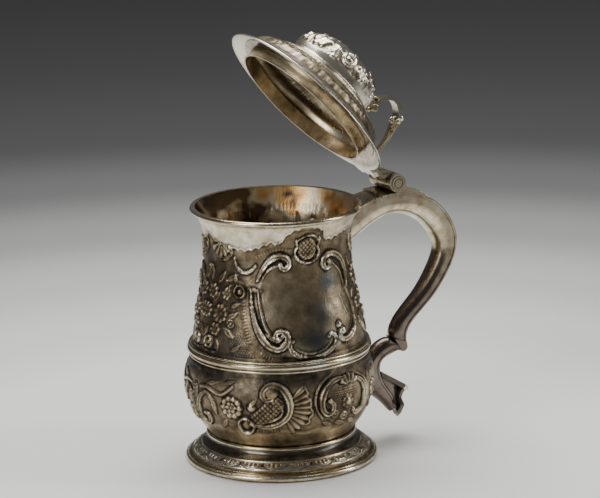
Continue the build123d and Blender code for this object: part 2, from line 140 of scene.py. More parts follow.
# %% [markdown]
# ## Helpers
#
# Blender's operators act on everything that is selected, and the loader leaves the frame selected,
# so a helper clears the selection. Colours are written as the sRGB hex values that a colour picker
# shows, and one function turns them into the linear values that shaders use.

# %% Small helpers
def deselect():
    """Clears the selection."""
    bpy.ops.object.select_all(action="DESELECT")


def srgb(code):
    """An sRGB hex colour as linear red, green, blue and alpha."""
    parts = [int(code[i:i + 2], 16) / 255 for i in (1, 3, 5)]
    linear = [c / 12.92 if c <= 0.04045 else ((c + 0.055) / 1.055) ** 2.4 for c in parts]
    return (*linear, 1.0)


def add_node(tree, kind, inputs=None, **settings):
    """Adds one shader node, sets its properties, and fills or links its inputs."""
    node = tree.nodes.new(kind)
    for key, value in settings.items():
        setattr(node, key, value)
    for key, value in (inputs or {}).items():
        if isinstance(value, bpy.types.NodeSocket):
            tree.links.new(value, node.inputs[key])
        else:
            node.inputs[key].default_value = value
    return node


def set_ramp(node, stops):
    """Gives a colour ramp its stops, as (position, colour) pairs."""
    ramp = node.color_ramp
    while len(ramp.elements) > 1:
        ramp.elements.remove(ramp.elements[-1])
    ramp.elements[0].position, ramp.elements[0].color = stops[0]
    for position, colour in stops[1:]:
        ramp.elements.new(position).color = colour
    return node


# %% [markdown]
# ## Silver
#
# Sterling silver is nearly white, with an untinted bright reflection. In air it grows a thin
# sulphide film: straw and brown where it is thin, violet-grey and blue-black where it is thick. The
# film stays in hollows that a cloth can't reach, so every finish here is one recipe: bright metal
# below, a brown film over it in broad soft patches, and a black one in the hollows. Chased pieces
# carry three surface values that say how deep a hollow is, where the metal is kept polished and
# where a stain lies. On the drum and the bowl the hollow value also darkens the wall next to the
# girdle and the foot, and on the foot the stain value darkens the cove: both are painted shade.
# Plain castings have none, so their black comes from ambient occlusion, how enclosed a spot is:
# tarnish in the hollows, and painted shade in creases and where parts meet.

# %% Silver finishes
BRIGHT = srgb("#EEE6D4")
STRAW = srgb("#CDBFA3")
BROWN = srgb("#978669")
DEEP_BROWN = srgb("#5C4F3D")
UMBER = srgb("#2E261B")
BLUE_BLACK = srgb("#26292F")
SULPHIDE_STAIN_AND_SHADE = srgb("#45484A")
GILT = srgb("#C79A5E")
PURPLE_BROWN = srgb("#54474A")
GRAIN_MM = 0.9               # spacing of the punch dots, drawn coarser than real so that they show
PATCH_MM = 30.0              # size of the broad tarnish patches
CLOUD_MM = 6.0               # size of the small clouds inside them
SCUFF_MM = 0.9               # spacing of fine scuffs, drawn coarser than real so that they show
SCUFF_DEEP_MM = 0.08
FILM_SWING = 0.45            # how far the patches make the film thinner or thicker
FILM_ROUGHNESS = 0.14        # what a full film adds to the metal's roughness
HOLLOW_ROUGHNESS = 0.5       # the black in the hollows is nearly matt


def tarnished_silver(name, film=0.5, darkest=0.9, roughness=0.24, chased=False, matting=0.0,
                     occlusion_reach_mm=2.5, kept=0.45, low_mm=None):
    """Silver with a brown film (0 none, 1 all over) and black hollows that also hold painted shade, made for one kind
    of piece.

    chased pieces carry the surface values, and only they take matting, the depth of the punch dots in
    mm. kept is how much cleaner the rubbed high spots are. low_mm is a pair of heights between which
    the colour turns darker and purple-brown towards the bottom, for the lower handle.
    """
    material = bpy.data.materials.new(name)
    material.use_nodes = True
    tree = material.node_tree
    tree.nodes.clear()
    place = add_node(tree, "ShaderNodeTexCoord").outputs["Object"]
    patches = add_node(tree, "ShaderNodeTexNoise", {
        "Vector": place, "Scale": 1 / (PATCH_MM * MM), "Detail": 3.0, "Roughness": 0.5}).outputs["Fac"]
    clouds = add_node(tree, "ShaderNodeTexNoise", {
        "Vector": place, "Scale": 1 / (CLOUD_MM * MM), "Detail": 6.0, "Roughness": 0.6}).outputs["Fac"]
    both = add_node(tree, "ShaderNodeMath", {0: patches, 1: clouds}, operation="ADD").outputs[0]
    amount = add_node(tree, "ShaderNodeMapRange", {
        "Value": both, "From Min": 0.6, "From Max": 1.4,
        "To Min": film - FILM_SWING, "To Max": film + FILM_SWING}).outputs["Result"]
    if chased:
        hollow_and_shade, polish, stain_and_shade, within = [
            add_node(tree, "ShaderNodeAttribute", attribute_name=key).outputs["Fac"]
            for key in ("hollow_and_shade", "polish", "stain_and_shade", "inside")]
        cleaned = add_node(tree, "ShaderNodeMath", {0: polish, 1: kept}, operation="MULTIPLY").outputs[0]
        amount = add_node(tree, "ShaderNodeMath", {0: amount, 1: cleaned}, operation="SUBTRACT",
                          use_clamp=True).outputs[0]
    else:
        # plain pieces: ambient occlusion over a few millimetres sets the black, which is tarnish in the hollows and
        # painted shade in creases, where parts meet and where a part meets the floor
        shade = add_node(tree, "ShaderNodeAmbientOcclusion", {"Distance": occlusion_reach_mm * MM}, samples=6)
        hollow_and_shade = add_node(tree, "ShaderNodeMapRange", {
            "Value": shade.outputs["AO"], "From Min": 0.9, "From Max": 0.3}).outputs["Result"]
    colour = set_ramp(add_node(tree, "ShaderNodeValToRGB", {"Fac": amount}), [
        (0.0, BRIGHT), (0.3, STRAW), (0.65, BROWN), (1.0, DEEP_BROWN)]).outputs["Color"]
    if chased:
        # the stain value: sulphide stains on the walls and lid, and painted shade on the foot's cove
        colour = add_node(tree, "ShaderNodeMix", {"Factor": stain_and_shade, "A": colour, "B": SULPHIDE_STAIN_AND_SHADE},
                          data_type="RGBA").outputs[2]
        toned = set_ramp(add_node(tree, "ShaderNodeValToRGB", {"Fac": patches}), [
            (0.40, BLUE_BLACK), (0.49, GILT), (0.56, STRAW), (0.63, DEEP_BROWN)]).outputs["Color"]
        colour = add_node(tree, "ShaderNodeMix", {"Factor": within, "A": colour, "B": toned},
                          data_type="RGBA").outputs[2]
    if low_mm:
        height = add_node(tree, "ShaderNodeSeparateXYZ", {"Vector": place}).outputs["Z"]
        low = add_node(tree, "ShaderNodeMapRange", {
            "Value": height, "From Min": low_mm[0] * MM, "From Max": low_mm[1] * MM, "To Max": 0.8},
            interpolation_type="SMOOTHSTEP").outputs["Result"]
        colour = add_node(tree, "ShaderNodeMix", {"Factor": low, "A": colour, "B": PURPLE_BROWN},
                          data_type="RGBA").outputs[2]
    broken = add_node(tree, "ShaderNodeMapRange", {
        "Value": clouds, "From Min": 0.3, "From Max": 0.7, "To Min": 0.7, "To Max": 1.2}).outputs["Result"]
    deep = add_node(tree, "ShaderNodeMath", {0: hollow_and_shade, 1: broken}, operation="MULTIPLY").outputs[0]
    deep = add_node(tree, "ShaderNodeMath", {0: deep, 1: darkest}, operation="MULTIPLY",
                    use_clamp=True).outputs[0]
    black = add_node(tree, "ShaderNodeMix", {"Factor": patches, "A": UMBER, "B": BLUE_BLACK},
                     data_type="RGBA").outputs[2]
    colour = add_node(tree, "ShaderNodeMix", {"Factor": deep, "A": colour, "B": black},
                      data_type="RGBA").outputs[2]
    rough = add_node(tree, "ShaderNodeMapRange", {
        "Value": amount, "To Min": roughness, "To Max": roughness + FILM_ROUGHNESS}).outputs["Result"]
    rough = add_node(tree, "ShaderNodeMix", {"Factor": deep, "A": rough, "B": HOLLOW_ROUGHNESS}).outputs[0]
    scuffs = add_node(tree, "ShaderNodeTexNoise", {
        "Vector": place, "Scale": 1 / (SCUFF_MM * MM), "Detail": 4.0}).outputs["Fac"]
    bump = add_node(tree, "ShaderNodeBump", {
        "Height": scuffs, "Strength": 0.12, "Distance": SCUFF_DEEP_MM * MM}).outputs["Normal"]
    if matting:
        dots = add_node(tree, "ShaderNodeTexVoronoi", {
            "Vector": place, "Scale": 1 / (GRAIN_MM * MM)}).outputs["Distance"]
        ground = add_node(tree, "ShaderNodeMath", {0: 1.0, 1: polish}, operation="SUBTRACT",
                          use_clamp=True).outputs[0]
        bump = add_node(tree, "ShaderNodeBump", {
            "Height": dots, "Strength": ground, "Distance": matting * MM, "Normal": bump}).outputs["Normal"]
    shader = add_node(tree, "ShaderNodeBsdfPrincipled", {
        "Base Color": colour, "Metallic": 1.0, "Roughness": rough, "Normal": bump})
    add_node(tree, "ShaderNodeOutputMaterial", {"Surface": shader.outputs["BSDF"]})
    return material


def assign(node_names, material):
    """Gives the frame's own nodes a finish."""
    for node_name in node_names:
        for place in nodes[node_name].material_slots:
            place.material = material


# %% [markdown]
# ## The ornament, motif by motif
#
# Repousse is pushed out from inside with blunt punches and then sharpened from outside with chasing
# tools. Displacing an image would be the quick way, but a picture of relief gives soft, stretched
# ornament. Here the wall is unrolled into a flat sheet of millimetres, each motif is a small formula
# that raises part of that sheet, and the sheet is rolled up again as real geometry. Motifs never add
# up: the highest one wins, as when a smith works one form over another.

# %% Motifs
def smooth_line(points, rounds=3):
    """A stroke's path with its corners cut again and again, which rounds it."""
    line = np.array(points, float)
    for _ in range(rounds):
        first, second = line[:-1], line[1:]
        cut = np.stack([0.75 * first + 0.25 * second, 0.25 * first + 0.75 * second], 1).reshape(-1, 2)
        line = np.vstack([line[:1], cut, line[-1:]])
    return line


def along_and_off(sheet, line):
    """For each spot of the sheet: how far along a line its nearest point is (0 to 1), and how far off."""
    u, v = sheet
    length = np.hypot(*np.diff(line, axis=0).T)
    start = np.concatenate([[0], np.cumsum(length)])
    best = np.full(u.shape, 1e9)
    where = np.zeros(u.shape)
    for i, ((ax, ay), (bx, by)) in enumerate(zip(line[:-1], line[1:])):
        size = max(length[i], 1e-6)
        t = np.clip(((u - ax) * (bx - ax) + (v - ay) * (by - ay)) / size ** 2, 0, 1)
        off = np.hypot(u - ax - t * (bx - ax), v - ay - t * (by - ay))
        nearer = off < best
        best = np.where(nearer, off, best)
        where = np.where(nearer, (start[i] + t * size) / start[-1], where)
    return where, best


def soft(value):
    """Eases from 0 to 1 as the value does."""
    value = np.clip(value, 0, 1)
    return value * value * (3 - 2 * value)


def boss(relief, sheet, centre, radius, height):
    """A round knob."""
    q = np.clip(np.hypot(sheet[0] - centre[0], sheet[1] - centre[1]) / radius, 0, 1)
    return np.maximum(relief, height * np.sqrt(1 - q * q))


def scroll(relief, sheet, points, width, height, channel=0.45, thin=(0.5, 0.7)):
    """A C-scroll: two raised ribs with a channel between, thinner at its ends, with an eye in the curl."""
    where, off = along_and_off(sheet, smooth_line(points))
    swell = np.interp(where, [0, 0.45, 1], [thin[0], 1, thin[1]])
    q = off / (width / 2 * swell)
    band = soft((1 - q) / 0.35) * (1 - channel * (1 - soft(q / 0.7)))
    relief = boss(relief, sheet, points[-1], 0.36 * width, height)
    return np.maximum(relief, height * swell ** 0.5 * band)


def cord_line(relief, sheet, points, width, height):
    """A single raised rib."""
    where, off = along_and_off(sheet, smooth_line(points))
    q = np.clip(off / (width / 2), 0, 1)
    swell = np.interp(where, [0, 0.2, 0.8, 1], [0.6, 1, 1, 0.6])
    return np.maximum(relief, height * np.sqrt(1 - q * q) * swell)


def cup(relief, sheet, centre, radius, height):
    """A boss sunk in a raised rim, like a cabochon in its setting."""
    q = np.hypot(sheet[0] - centre[0], sheet[1] - centre[1]) / radius
    rim = height * np.exp(-((q - 0.82) / 0.16) ** 2)
    dome = 0.75 * height * np.sqrt(np.clip(1 - (q / 0.5) ** 2, 0, 1))
    return np.maximum(relief, np.maximum(rim, dome))


def rosette(relief, sheet, centre, radius, height, petals=8, turn=0.0):
    """An open flower: rounded petals round a small domed eye."""
    x, y = sheet[0] - centre[0], sheet[1] - centre[1]
    q = np.hypot(x, y) / radius
    wave = np.abs(np.cos(petals / 2 * (np.arctan2(y, x) + turn)))
    edge = 0.78 + 0.22 * wave
    petal = height * soft((edge - q) / 0.18) * (0.5 + 0.5 * wave ** 0.7) * (0.55 + 0.6 * soft(q))
    eye = 0.9 * height * np.sqrt(np.clip(1 - (q / 0.27) ** 2, 0, 1))
    return np.maximum(relief, np.maximum(petal, eye))


def bead_flower(relief, sheet, centre, radius, height, beads=9):
    """A flower whose petals are separate round bosses."""
    for i in range(beads):
        angle = 2 * math.pi * i / beads
        spot = (centre[0] + 0.72 * radius * math.cos(angle), centre[1] + 0.72 * radius * math.sin(angle))
        relief = boss(relief, sheet, spot, 0.27 * radius, height)
    return rosette(relief, sheet, centre, 0.52 * radius, height, petals=6)


def leaf(relief, sheet, base, tip, width, height, veins=6):
    """A pointed leaf with a sunk midrib and slanting veins."""
    run = np.subtract(tip, base).astype(float)
    length = np.hypot(*run)
    run /= length
    x, y = sheet[0] - base[0], sheet[1] - base[1]
    s = (x * run[0] + y * run[1]) / length
    off = np.abs(y * run[0] - x * run[1])
    half = width / 2 * np.sin(math.pi * np.clip(s, 0, 1) ** 0.8) + 1e-6
    q = off / half
    vein = 0.82 + 0.18 * np.cos(2 * math.pi * (veins * s - 1.2 * q))
    body = height * soft((1 - q) / 0.5) * vein * (1 - 0.45 * np.exp(-(q / 0.16) ** 2))
    return np.maximum(relief, np.where((s > 0) & (s < 1), body, 0))


def fan(relief, sheet, centre, radius, height, facing, spread, ribs, inner=0.15):
    """A fluted shell: ribs that run out from a point, scalloped at the rim."""
    x, y = sheet[0] - centre[0], sheet[1] - centre[1]
    q = np.hypot(x, y) / radius
    angle = (np.degrees(np.arctan2(y, x)) - facing + 180) % 360 - 180
    wave = np.abs(np.cos(math.radians(90) * ribs * angle / spread))
    rim = 0.86 + 0.14 * wave
    inside = soft((rim - q) / 0.12) * soft((q - inner) / 0.15) * soft((spread - np.abs(angle)) / 8)
    return np.maximum(relief, height * inside * (0.35 + 0.65 * wave) * (0.6 + 0.4 * q))


def lattice(relief, sheet, centre, size, height, spacing):
    """A cushioned oval cut into little squares by crossing grooves."""
    x, y = sheet[0] - centre[0], sheet[1] - centre[1]
    q = np.hypot(x / size[0], y / size[1])
    a, b = (x + y) / spacing * math.pi / 1.414, (x - y) / spacing * math.pi / 1.414
    squares = np.minimum(np.abs(np.sin(a)), np.abs(np.sin(b))) ** 0.6
    return np.maximum(relief, height * soft((1 - q) / 0.25) * (0.35 + 0.65 * squares))


def lattice_band(relief, sheet, line, width, height, spacing):
    """A band cut into little squares by crossing grooves."""
    u, v = sheet
    _, off = along_and_off(sheet, smooth_line(line))
    a, b = (u + v) / spacing * math.pi / 1.414, (u - v) / spacing * math.pi / 1.414
    squares = np.minimum(np.abs(np.sin(a)), np.abs(np.sin(b))) ** 0.6
    return np.maximum(relief, height * soft((width / 2 - off) / 0.8) * (0.1 + 0.9 * squares))


def stipple(relief, sheet, centre, radius, height, spacing):
    """A patch of small round punch marks, in rows."""
    u, v = sheet
    x = (u / spacing + 0.5 * (np.floor(v / spacing) % 2)) % 1 - 0.5
    y = (v / spacing) % 1 - 0.5
    dots = np.clip(1 - (np.hypot(x, y) / 0.46) ** 2, 0, 1)
    q = np.hypot(u - centre[0], v - centre[1]) / radius
    return np.maximum(relief, height * soft((1 - q) / 0.1) * dots)


def teeth(relief, sheet, line, length, height, spacing):
    """Short chased strokes that stand out like a fringe along a line."""
    dense = smooth_line(line)
    total = np.hypot(*np.diff(dense, axis=0).T).sum()
    where, off = along_and_off(sheet, dense)
    stroke = np.abs(np.sin(math.pi * where * total / spacing))
    return np.maximum(relief, height * soft(1 - off / length) * stroke ** 2)


# %% [markdown]
# ## Rolling the sheet up
#
# A raised wall is a surface of revolution. Its outline is a smooth curve through a few points, the
# same points that the frame's solids use, and the relief pushes each spot out along the outline's
# normal. The inside gets the same pattern back to front and fainter, as repousse leaves it. A grid
# made in code is the only way to carry this much relief exactly, and it closes at both rims.

# %% Outline curves and the shell builder
def natural_curve(points, count):
    """Evenly spaced spots on the natural cubic spline through the points."""
    points = np.array(points, float)
    t = np.concatenate([[0], np.cumsum(np.hypot(*np.diff(points, axis=0).T))])
    n = len(points)
    step = np.diff(t)
    system, right = np.eye(n), np.zeros((n, 2))
    for i in range(1, n - 1):
        system[i, i - 1:i + 2] = step[i - 1], 2 * (step[i - 1] + step[i]), step[i]
        right[i] = 6 * ((points[i + 1] - points[i]) / step[i] - (points[i] - points[i - 1]) / step[i - 1])
    bend = np.linalg.solve(system, right)
    at = np.linspace(0, t[-1], count)
    k = np.clip(np.searchsorted(t, at, side="right") - 1, 0, n - 2)
    h = step[k][:, None]
    a, b = (t[k + 1] - at)[:, None] / h, (at - t[k])[:, None] / h
    curve = ((a ** 3 - a) * bend[k] + (b ** 3 - b) * bend[k + 1]) * h ** 2 / 6
    return a * points[k] + b * points[k + 1] + curve


def outward(outline):
    """Unit normals away from the axis for an outline that runs upwards, as (radius, height)."""
    run = np.gradient(outline, axis=0)
    run /= np.hypot(*run.T)[:, None]
    return np.stack([run[:, 1], -run[:, 0]], 1)


def box_blur(field, size):
    """Mean over a square window. The first axis runs round the tankard, so it wraps."""
    for _ in range(2):
        total = sum(np.roll(field, k, 0) for k in range(-size, size + 1)) / (2 * size + 1)
        padded = np.pad(total, ((0, 0), (size, size)), mode="edge")
        field = sum(padded[:, k:k + field.shape[1]] for k in range(2 * size + 1)) / (2 * size + 1)
    return field


def hollows(relief):
    """How far each spot lies below its near and its wider surroundings, from 0."""
    near = box_blur(relief, 1) - relief
    far = box_blur(relief, 4) - relief
    return np.clip(near / 0.16, 0, 1) * 0.75 + np.clip(far / 0.6, 0, 1) * 0.45


def hammered(count_round, count_up, seed, cells=(60, 14)):
    """Gentle hand-hammered unevenness, -1 to 1, smooth and closed all the way round."""
    dice = np.random.RandomState(seed).uniform(-1, 1, cells)
    around = np.arange(count_round) / count_round * cells[0]
    i, f = around.astype(int), soft(around % 1)[:, None]
    rows = dice[i % cells[0]] * (1 - f) + dice[(i + 1) % cells[0]] * f
    up = np.linspace(0, cells[1] - 1.001, count_up)
    j, g = up.astype(int), soft(up % 1)
    return rows[:, j] * (1 - g) + rows[:, j + 1] * g


AROUND = 560                 # steps round each wall
TURN_DEG = np.arange(AROUND) / AROUND * 360
HANDLE_DEG = np.minimum(TURN_DEG, 360 - TURN_DEG)      # from the handle: the two sides mirror each other
HALF_DEG = np.arange(AROUND // 2 + 1) / AROUND * 360
SIDE_DEG = 96.0              # where u is 0, degrees round from the handle


def unrolled(degrees, high, radius):
    """Places on the unrolled wall in mm: u runs towards the handle, and v is the height."""
    u = np.radians(SIDE_DEG - degrees)[:, None] * radius + 0 * high
    return u, np.broadcast_to(high, u.shape)


FLOWER_SHARE = {"rosette": 0.62, "leaf": 0.75, "bead_flower": 0.85}    # flowers lie lower than the scrolls


def mirrored(motifs, half_sheet):
    """The relief of a list of motifs on half the wall, carried over to the whole wall."""
    relief = np.zeros(half_sheet[0].shape)
    for motif, *details in motifs:
        share = FLOWER_SHARE.get(motif.__name__, 1.0)
        relief = np.maximum(relief, share * motif(0 * relief, half_sheet, *details))
    steps = np.arange(AROUND)
    return relief[np.minimum(steps, AROUND - steps)]


MERGE_MM = 0.002             # joins each pole and seam into one
SHARP_DEG = 58.0             # edges turned more than this stay crisp


def add_lathe(name, profile, facing, push, values, tilt=None):
    """Turns a profile (mm rows of radius and height, pushed along facing) into one closed mesh."""
    count = push.shape[0]
    radius = np.maximum(profile[:, 0] + facing[:, 0] * push, 0)
    height = profile[:, 1] + facing[:, 1] * push
    theta = (np.arange(count) / count * 2 * math.pi)[:, None]
    verts = np.stack([radius * np.cos(theta), radius * np.sin(theta), height], 2) * MM
    rows = len(profile)
    i, j = np.meshgrid(np.arange(count), np.arange(rows), indexing="ij")
    on_axis = profile[:, 0] < 1e-6
    wanted = ~(on_axis[j] & on_axis[(j + 1) % rows])
    i, j = i[wanted], j[wanted]
    after, above = (i + 1) % count, (j + 1) % rows
    quads = np.stack([i * rows + j, after * rows + j, after * rows + above, i * rows + above], 1)
    mesh = bpy.data.meshes.new(name)
    mesh.vertices.add(count * rows)
    mesh.vertices.foreach_set("co", verts.reshape(-1))
    mesh.loops.add(quads.size)
    mesh.polygons.add(len(quads))
    mesh.polygons.foreach_set("loop_start", np.arange(len(quads)) * 4)
    mesh.polygons.foreach_set("loop_total", np.full(len(quads), 4))
    mesh.loops.foreach_set("vertex_index", quads.reshape(-1))
    mesh.update(calc_edges=True)
    for key, field in values.items():
        layer = mesh.attributes.new(key, "FLOAT", "POINT")
        spread = np.broadcast_to(field, (count, rows)).astype(np.float32)
        layer.data.foreach_set("value", spread.reshape(-1))
    if tilt is not None:
        mesh.transform(tilt)
    piece = bpy.data.objects.new(name, mesh)
    bpy.context.collection.objects.link(piece)
    deselect()
    piece.select_set(True)
    bpy.context.view_layer.objects.active = piece
    bpy.ops.object.mode_set(mode="EDIT")
    bpy.ops.mesh.select_all(action="SELECT")
    bpy.ops.mesh.remove_doubles(threshold=MERGE_MM * MM)
    bpy.ops.object.mode_set(mode="OBJECT")
    bpy.ops.object.shade_smooth_by_angle(angle=math.radians(SHARP_DEG))
    print(name, len(piece.data.vertices), "vertices", len(piece.data.polygons), "faces")
    return piece


def adopt(piece, body, node_name, slot, material):
    """Seats a finished piece in the frame in place of the plain node."""
    piece.data.materials.clear()
    piece.data.materials.append(material)
    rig.ride(piece, body)
    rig.replaces(piece, node_name)
    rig.slot(piece, slot)


# %% [markdown]
# ## The drum
#
# On each side of the drum a frame of C-scrolls holds a plain field, with a cushion of lattice work
# above it, and flowers fill the rest of the wall. Places are millimetres on the unrolled wall: u
# runs towards the handle from a line down the side, and v is the height above the table. A plain
# band under the lip ends in a scalloped edge.

# %% The drum's ornament
DRUM_LINE = [(54.2, 71), (50.6, 96), (46.3, 119), (44.9, 137), (47.2, 151), (51.6, 160)]
DRUM_R = 50.0                # radius at which the drum is unrolled
WALL = 1.2                   # thickness of the sheet

DRUM_ORNAMENT = [
    # the field's frame, from top left round to top right
    (scroll, [(-33, 123), (-31, 127), (-28, 132), (-24, 136), (-18, 138.5), (-13, 137), (-11, 133.5),
              (-13, 130), (-16.5, 130.5), (-17.5, 133)], 4.6, 1.9),
    (cord_line, [(-30, 123), (-27, 128), (-23, 131), (-19, 132)], 1.2, 0.8),
    (scroll, [(-37, 117), (-36.5, 111), (-35, 104), (-33, 97), (-30, 90), (-25, 84), (-20, 82), (-15.5, 84),
              (-13.5, 89), (-16, 93), (-20, 93), (-21.5, 90), (-19, 88.5)], 5.0, 2.0, 0.35, (0.45, 0.6)),
    (cord_line, [(-32, 117), (-31, 109), (-29, 101), (-27, 95), (-24, 91)], 1.8, 1.2),
    (leaf, (-27, 91), (-18, 86), 3.4, 1.7),
    (leaf, (-40, 118), (-28, 116.5), 3.0, 1.3),
    (scroll, [(-11, 87), (-13, 85.5), (-13, 82), (-9.5, 78), (-4, 75.6), (3, 75.6), (10, 77.8), (15.5, 81.5),
              (17, 86), (14, 89), (11.5, 87.5)], 3.6, 1.6, 0.6, (0.55, 0.6)),
    (cord_line, [(-9.5, 82.5), (-6, 79.5), (0, 78.2), (7, 79.6), (12, 83)], 1.1, 0.7),
    (scroll, [(37, 94), (35, 88.5), (30, 84), (24, 82.6), (19.5, 85), (20, 89)], 4.0, 1.7),
    (boss, (20, 93), 2.2, 1.8),
    (boss, (22.6, 88.8), 2.5, 1.9),
    (scroll, [(33, 114), (35, 121), (33, 129), (27, 134.5), (19, 137), (13.5, 134.5), (12.6, 130),
              (15.5, 127.5), (19, 129), (18, 132)], 4.6, 1.9),
    (cord_line, [(29, 112), (30, 119), (28, 125), (23, 129)], 1.3, 0.9),
    (scroll, [(37, 96), (36, 103), (34, 109), (31, 113)], 3.0, 1.2, 0.3),
    (cord_line, [(30, 97), (27, 103), (25, 110)], 1.2, 0.5),
    # the lattice cushion over the field
    (lattice, (1.4, 141.4), (7.2, 7.4), 1.3, 2.1),
    (cord_line, [(-4.5, 148), (-6.8, 146), (-5.2, 143.4), (-7.6, 140.4), (-7, 136.4), (-2.5, 133.2),
                 (3.5, 132.8), (9, 135), (10.8, 139), (8.6, 142.4), (10.8, 145), (8.6, 147.6)], 1.5, 1.5),
    (cord_line, [(-4, 148), (-0.5, 150), (4.5, 150), (8, 148)], 1.3, 1.1),
    (boss, (9.6, 147), 1.5, 1.5),
    (boss, (-6, 147.2), 1.2, 1.3),
    # left of the field: shell, drop, small scroll and a bunch of flowers
    (fan, (-61, 144), 9.5, 1.3, -95, 78, 5),
    (scroll, [(-69.5, 144), (-69, 139), (-65, 134.8), (-58.5, 133.6), (-53, 136.4), (-51, 140.5),
              (-53.5, 142)],
     2.6, 1.5, 0.6),
    (scroll, [(-49.5, 136), (-48, 130.5), (-43, 127), (-37, 128.5), (-34, 132)], 3.2, 1.5, 0.3),
    (cup, (-44.8, 115.6), 4.4, 2.1),
    (leaf, (-47, 119), (-49.5, 127), 4.2, 1.7),
    (leaf, (-56, 121), (-46, 126), 4.6, 1.3),
    (rosette, (-58.5, 101), 6.4, 1.9, 9),
    (rosette, (-67.5, 113.5), 5.0, 1.8, 7, 0.4),
    (rosette, (-54.8, 113.2), 4.0, 1.6, 6, 0.2),
    (cup, (-66.5, 82.6), 4.0, 1.8),
    (cup, (-49.8, 96.0), 2.6, 1.5),
    (rosette, (-62, 91), 4.4, 1.7, 6),
    (rosette, (-71.5, 101.5), 5.2, 1.8, 8),
    (leaf, (-54, 98), (-45, 103), 4.4, 1.3),
    (leaf, (-55, 93), (-46.5, 87), 4.8, 1.4),
    (leaf, (-63, 119), (-57, 127), 4.8, 1.4),
    (leaf, (-70, 120), (-72, 130), 5.4, 1.5),
    (leaf, (-61, 86), (-58, 77.5), 4.0, 1.1),
    (leaf, (-69, 92), (-73, 84), 4.2, 1.3),
    (leaf, (-51, 106), (-43.5, 108.5), 3.6, 1.2),
    (scroll, [(-73.3, 78), (-66, 76.4), (-59, 77.5)], 1.6, 0.8, 0.3),
    # right of the field, round to the handle
    (rosette, (49, 118), 6.2, 1.8, 8),
    (rosette, (56, 104), 5.4, 1.7, 7, 0.3),
    (rosette, (46, 101), 4.0, 1.6, 6),
    (cup, (60, 92), 3.8, 1.7),
    (scroll, [(45, 143), (46, 136), (52, 132), (59, 134), (60, 140), (56, 141)], 3.4, 1.6, 0.5),
    (scroll, [(44, 92), (48, 84), (56, 81), (64, 84), (65, 90)], 3.4, 1.6, 0.5),
    (leaf, (53, 122), (61, 130), 5.2, 1.4),
    (leaf, (44, 111), (38, 105), 4.6, 1.3),
    (leaf, (60, 110), (68, 118), 5.2, 1.3),
    (leaf, (50, 96), (43, 88), 4.4, 1.2),
    (leaf, (46, 124), (40, 131), 4.6, 1.3),
    (leaf, (66, 100), (72, 92), 4.6, 1.2),
    # chased fringes: short strokes outside the frame
    (teeth, [(-42, 111), (-41, 101), (-39, 93), (-36, 85)], 2.6, 0.45, 1.9),
    (teeth, [(-30, 80), (-24, 76.5), (-16, 75)], 1.6, 0.4, 1.7),
    (teeth, [(24, 79.5), (32, 82), (39, 88)], 1.6, 0.4, 1.9),
    (teeth, [(-34, 136), (-28, 140), (-19, 142.6), (-11, 141.6)], 1.4, 0.4, 2.1),
    (teeth, [(14, 141), (22, 140), (31, 136)], 1.4, 0.4, 2.1),
    (leaf, (-15, 92), (-21, 86), 3.0, 2.0),
    (leaf, (-12.5, 88), (-19, 84.6), 3.0, 2.2),
    (stipple, (-44, 84), 7, 0.35, 1.6),
    (stipple, (-38, 75.5), 5, 0.3, 1.6),
    (leaf, (-49, 79), (-42, 84), 3.6, 1.0),
    (leaf, (-47, 122), (-41, 119), 3.2, 1.0),
    (leaf, (-52, 119), (-58, 113), 3.6, 1.1),
    (leaf, (-66, 107), (-61, 113), 3.6, 1.1),
]

drum_outer = natural_curve(DRUM_LINE, 128)
drum_inner = natural_curve([(r - WALL, z) for r, z in DRUM_LINE], 56)
drum_high = drum_outer[:, 1]
drum_u, drum_v = unrolled(HANDLE_DEG, drum_high, DRUM_R)
print("drum motifs", len(DRUM_ORNAMENT))

# %% The drum's plain band and plain field
BAND_EDGE = [(-74, 149.5), (-69, 144), (-63, 142.4), (-51, 141), (-40, 140.4), (-31, 143), (-23, 146),
             (-18, 144.6), (-13, 150), (-9, 153), (0, 155), (8, 153.4), (12, 151.6), (13.5, 146),
             (19, 144.6), (27, 146.4), (34, 147.4), (48, 147), (66, 148), (84, 149)]
edge_u, edge_v = np.array(BAND_EDGE).T
scallops = 1.2 * np.abs(np.sin(drum_u / 2.6 * math.pi / 2))
above_band = drum_v - np.interp(drum_u[:, 0], edge_u, edge_v)[:, None] - scallops
band = soft(above_band / 0.7 + 0.5)
field = soft((1.06 - np.hypot(drum_u / 34, (drum_v - 107) / 31)) / 0.08)
print("share of the drum: plain band", round(float(band.mean()), 2), "field", round(float(field.mean()), 2))


# %% Helpers that the drum, the bowl and the lid share
def kept_clear(high, reach, low, top):
    """1 on the open wall, and 0 under a fitting that reaches so many degrees round, low to top mm."""
    side = soft((HANDLE_DEG - reach) / 3.0)[:, None]
    level = soft(np.maximum(low - high, high - top) / 2.0)[None, :]
    return np.maximum(side, level)


def raised(relief, reach):
    """How far each spot stands above its surroundings, 0 to 1: what a cloth rubs."""
    return np.clip(relief - box_blur(relief, reach), 0, 1)


def smear(u, v, spots):
    """Soft blots: each spot is a place, its two sizes and its strength."""
    total = np.zeros(u.shape)
    for x, y, wide, tall, strength in spots:
        blot = strength * np.exp(-((u - x) / wide) ** 2 - ((v - y) / tall) ** 2)
        total = np.maximum(total, blot)
    return total


def matching_rows(outer_count, inner_count):
    """For each row of a wall's inside, the row of its outside that lies across from it."""
    return np.round(np.linspace(0, outer_count - 1, inner_count)).astype(int)


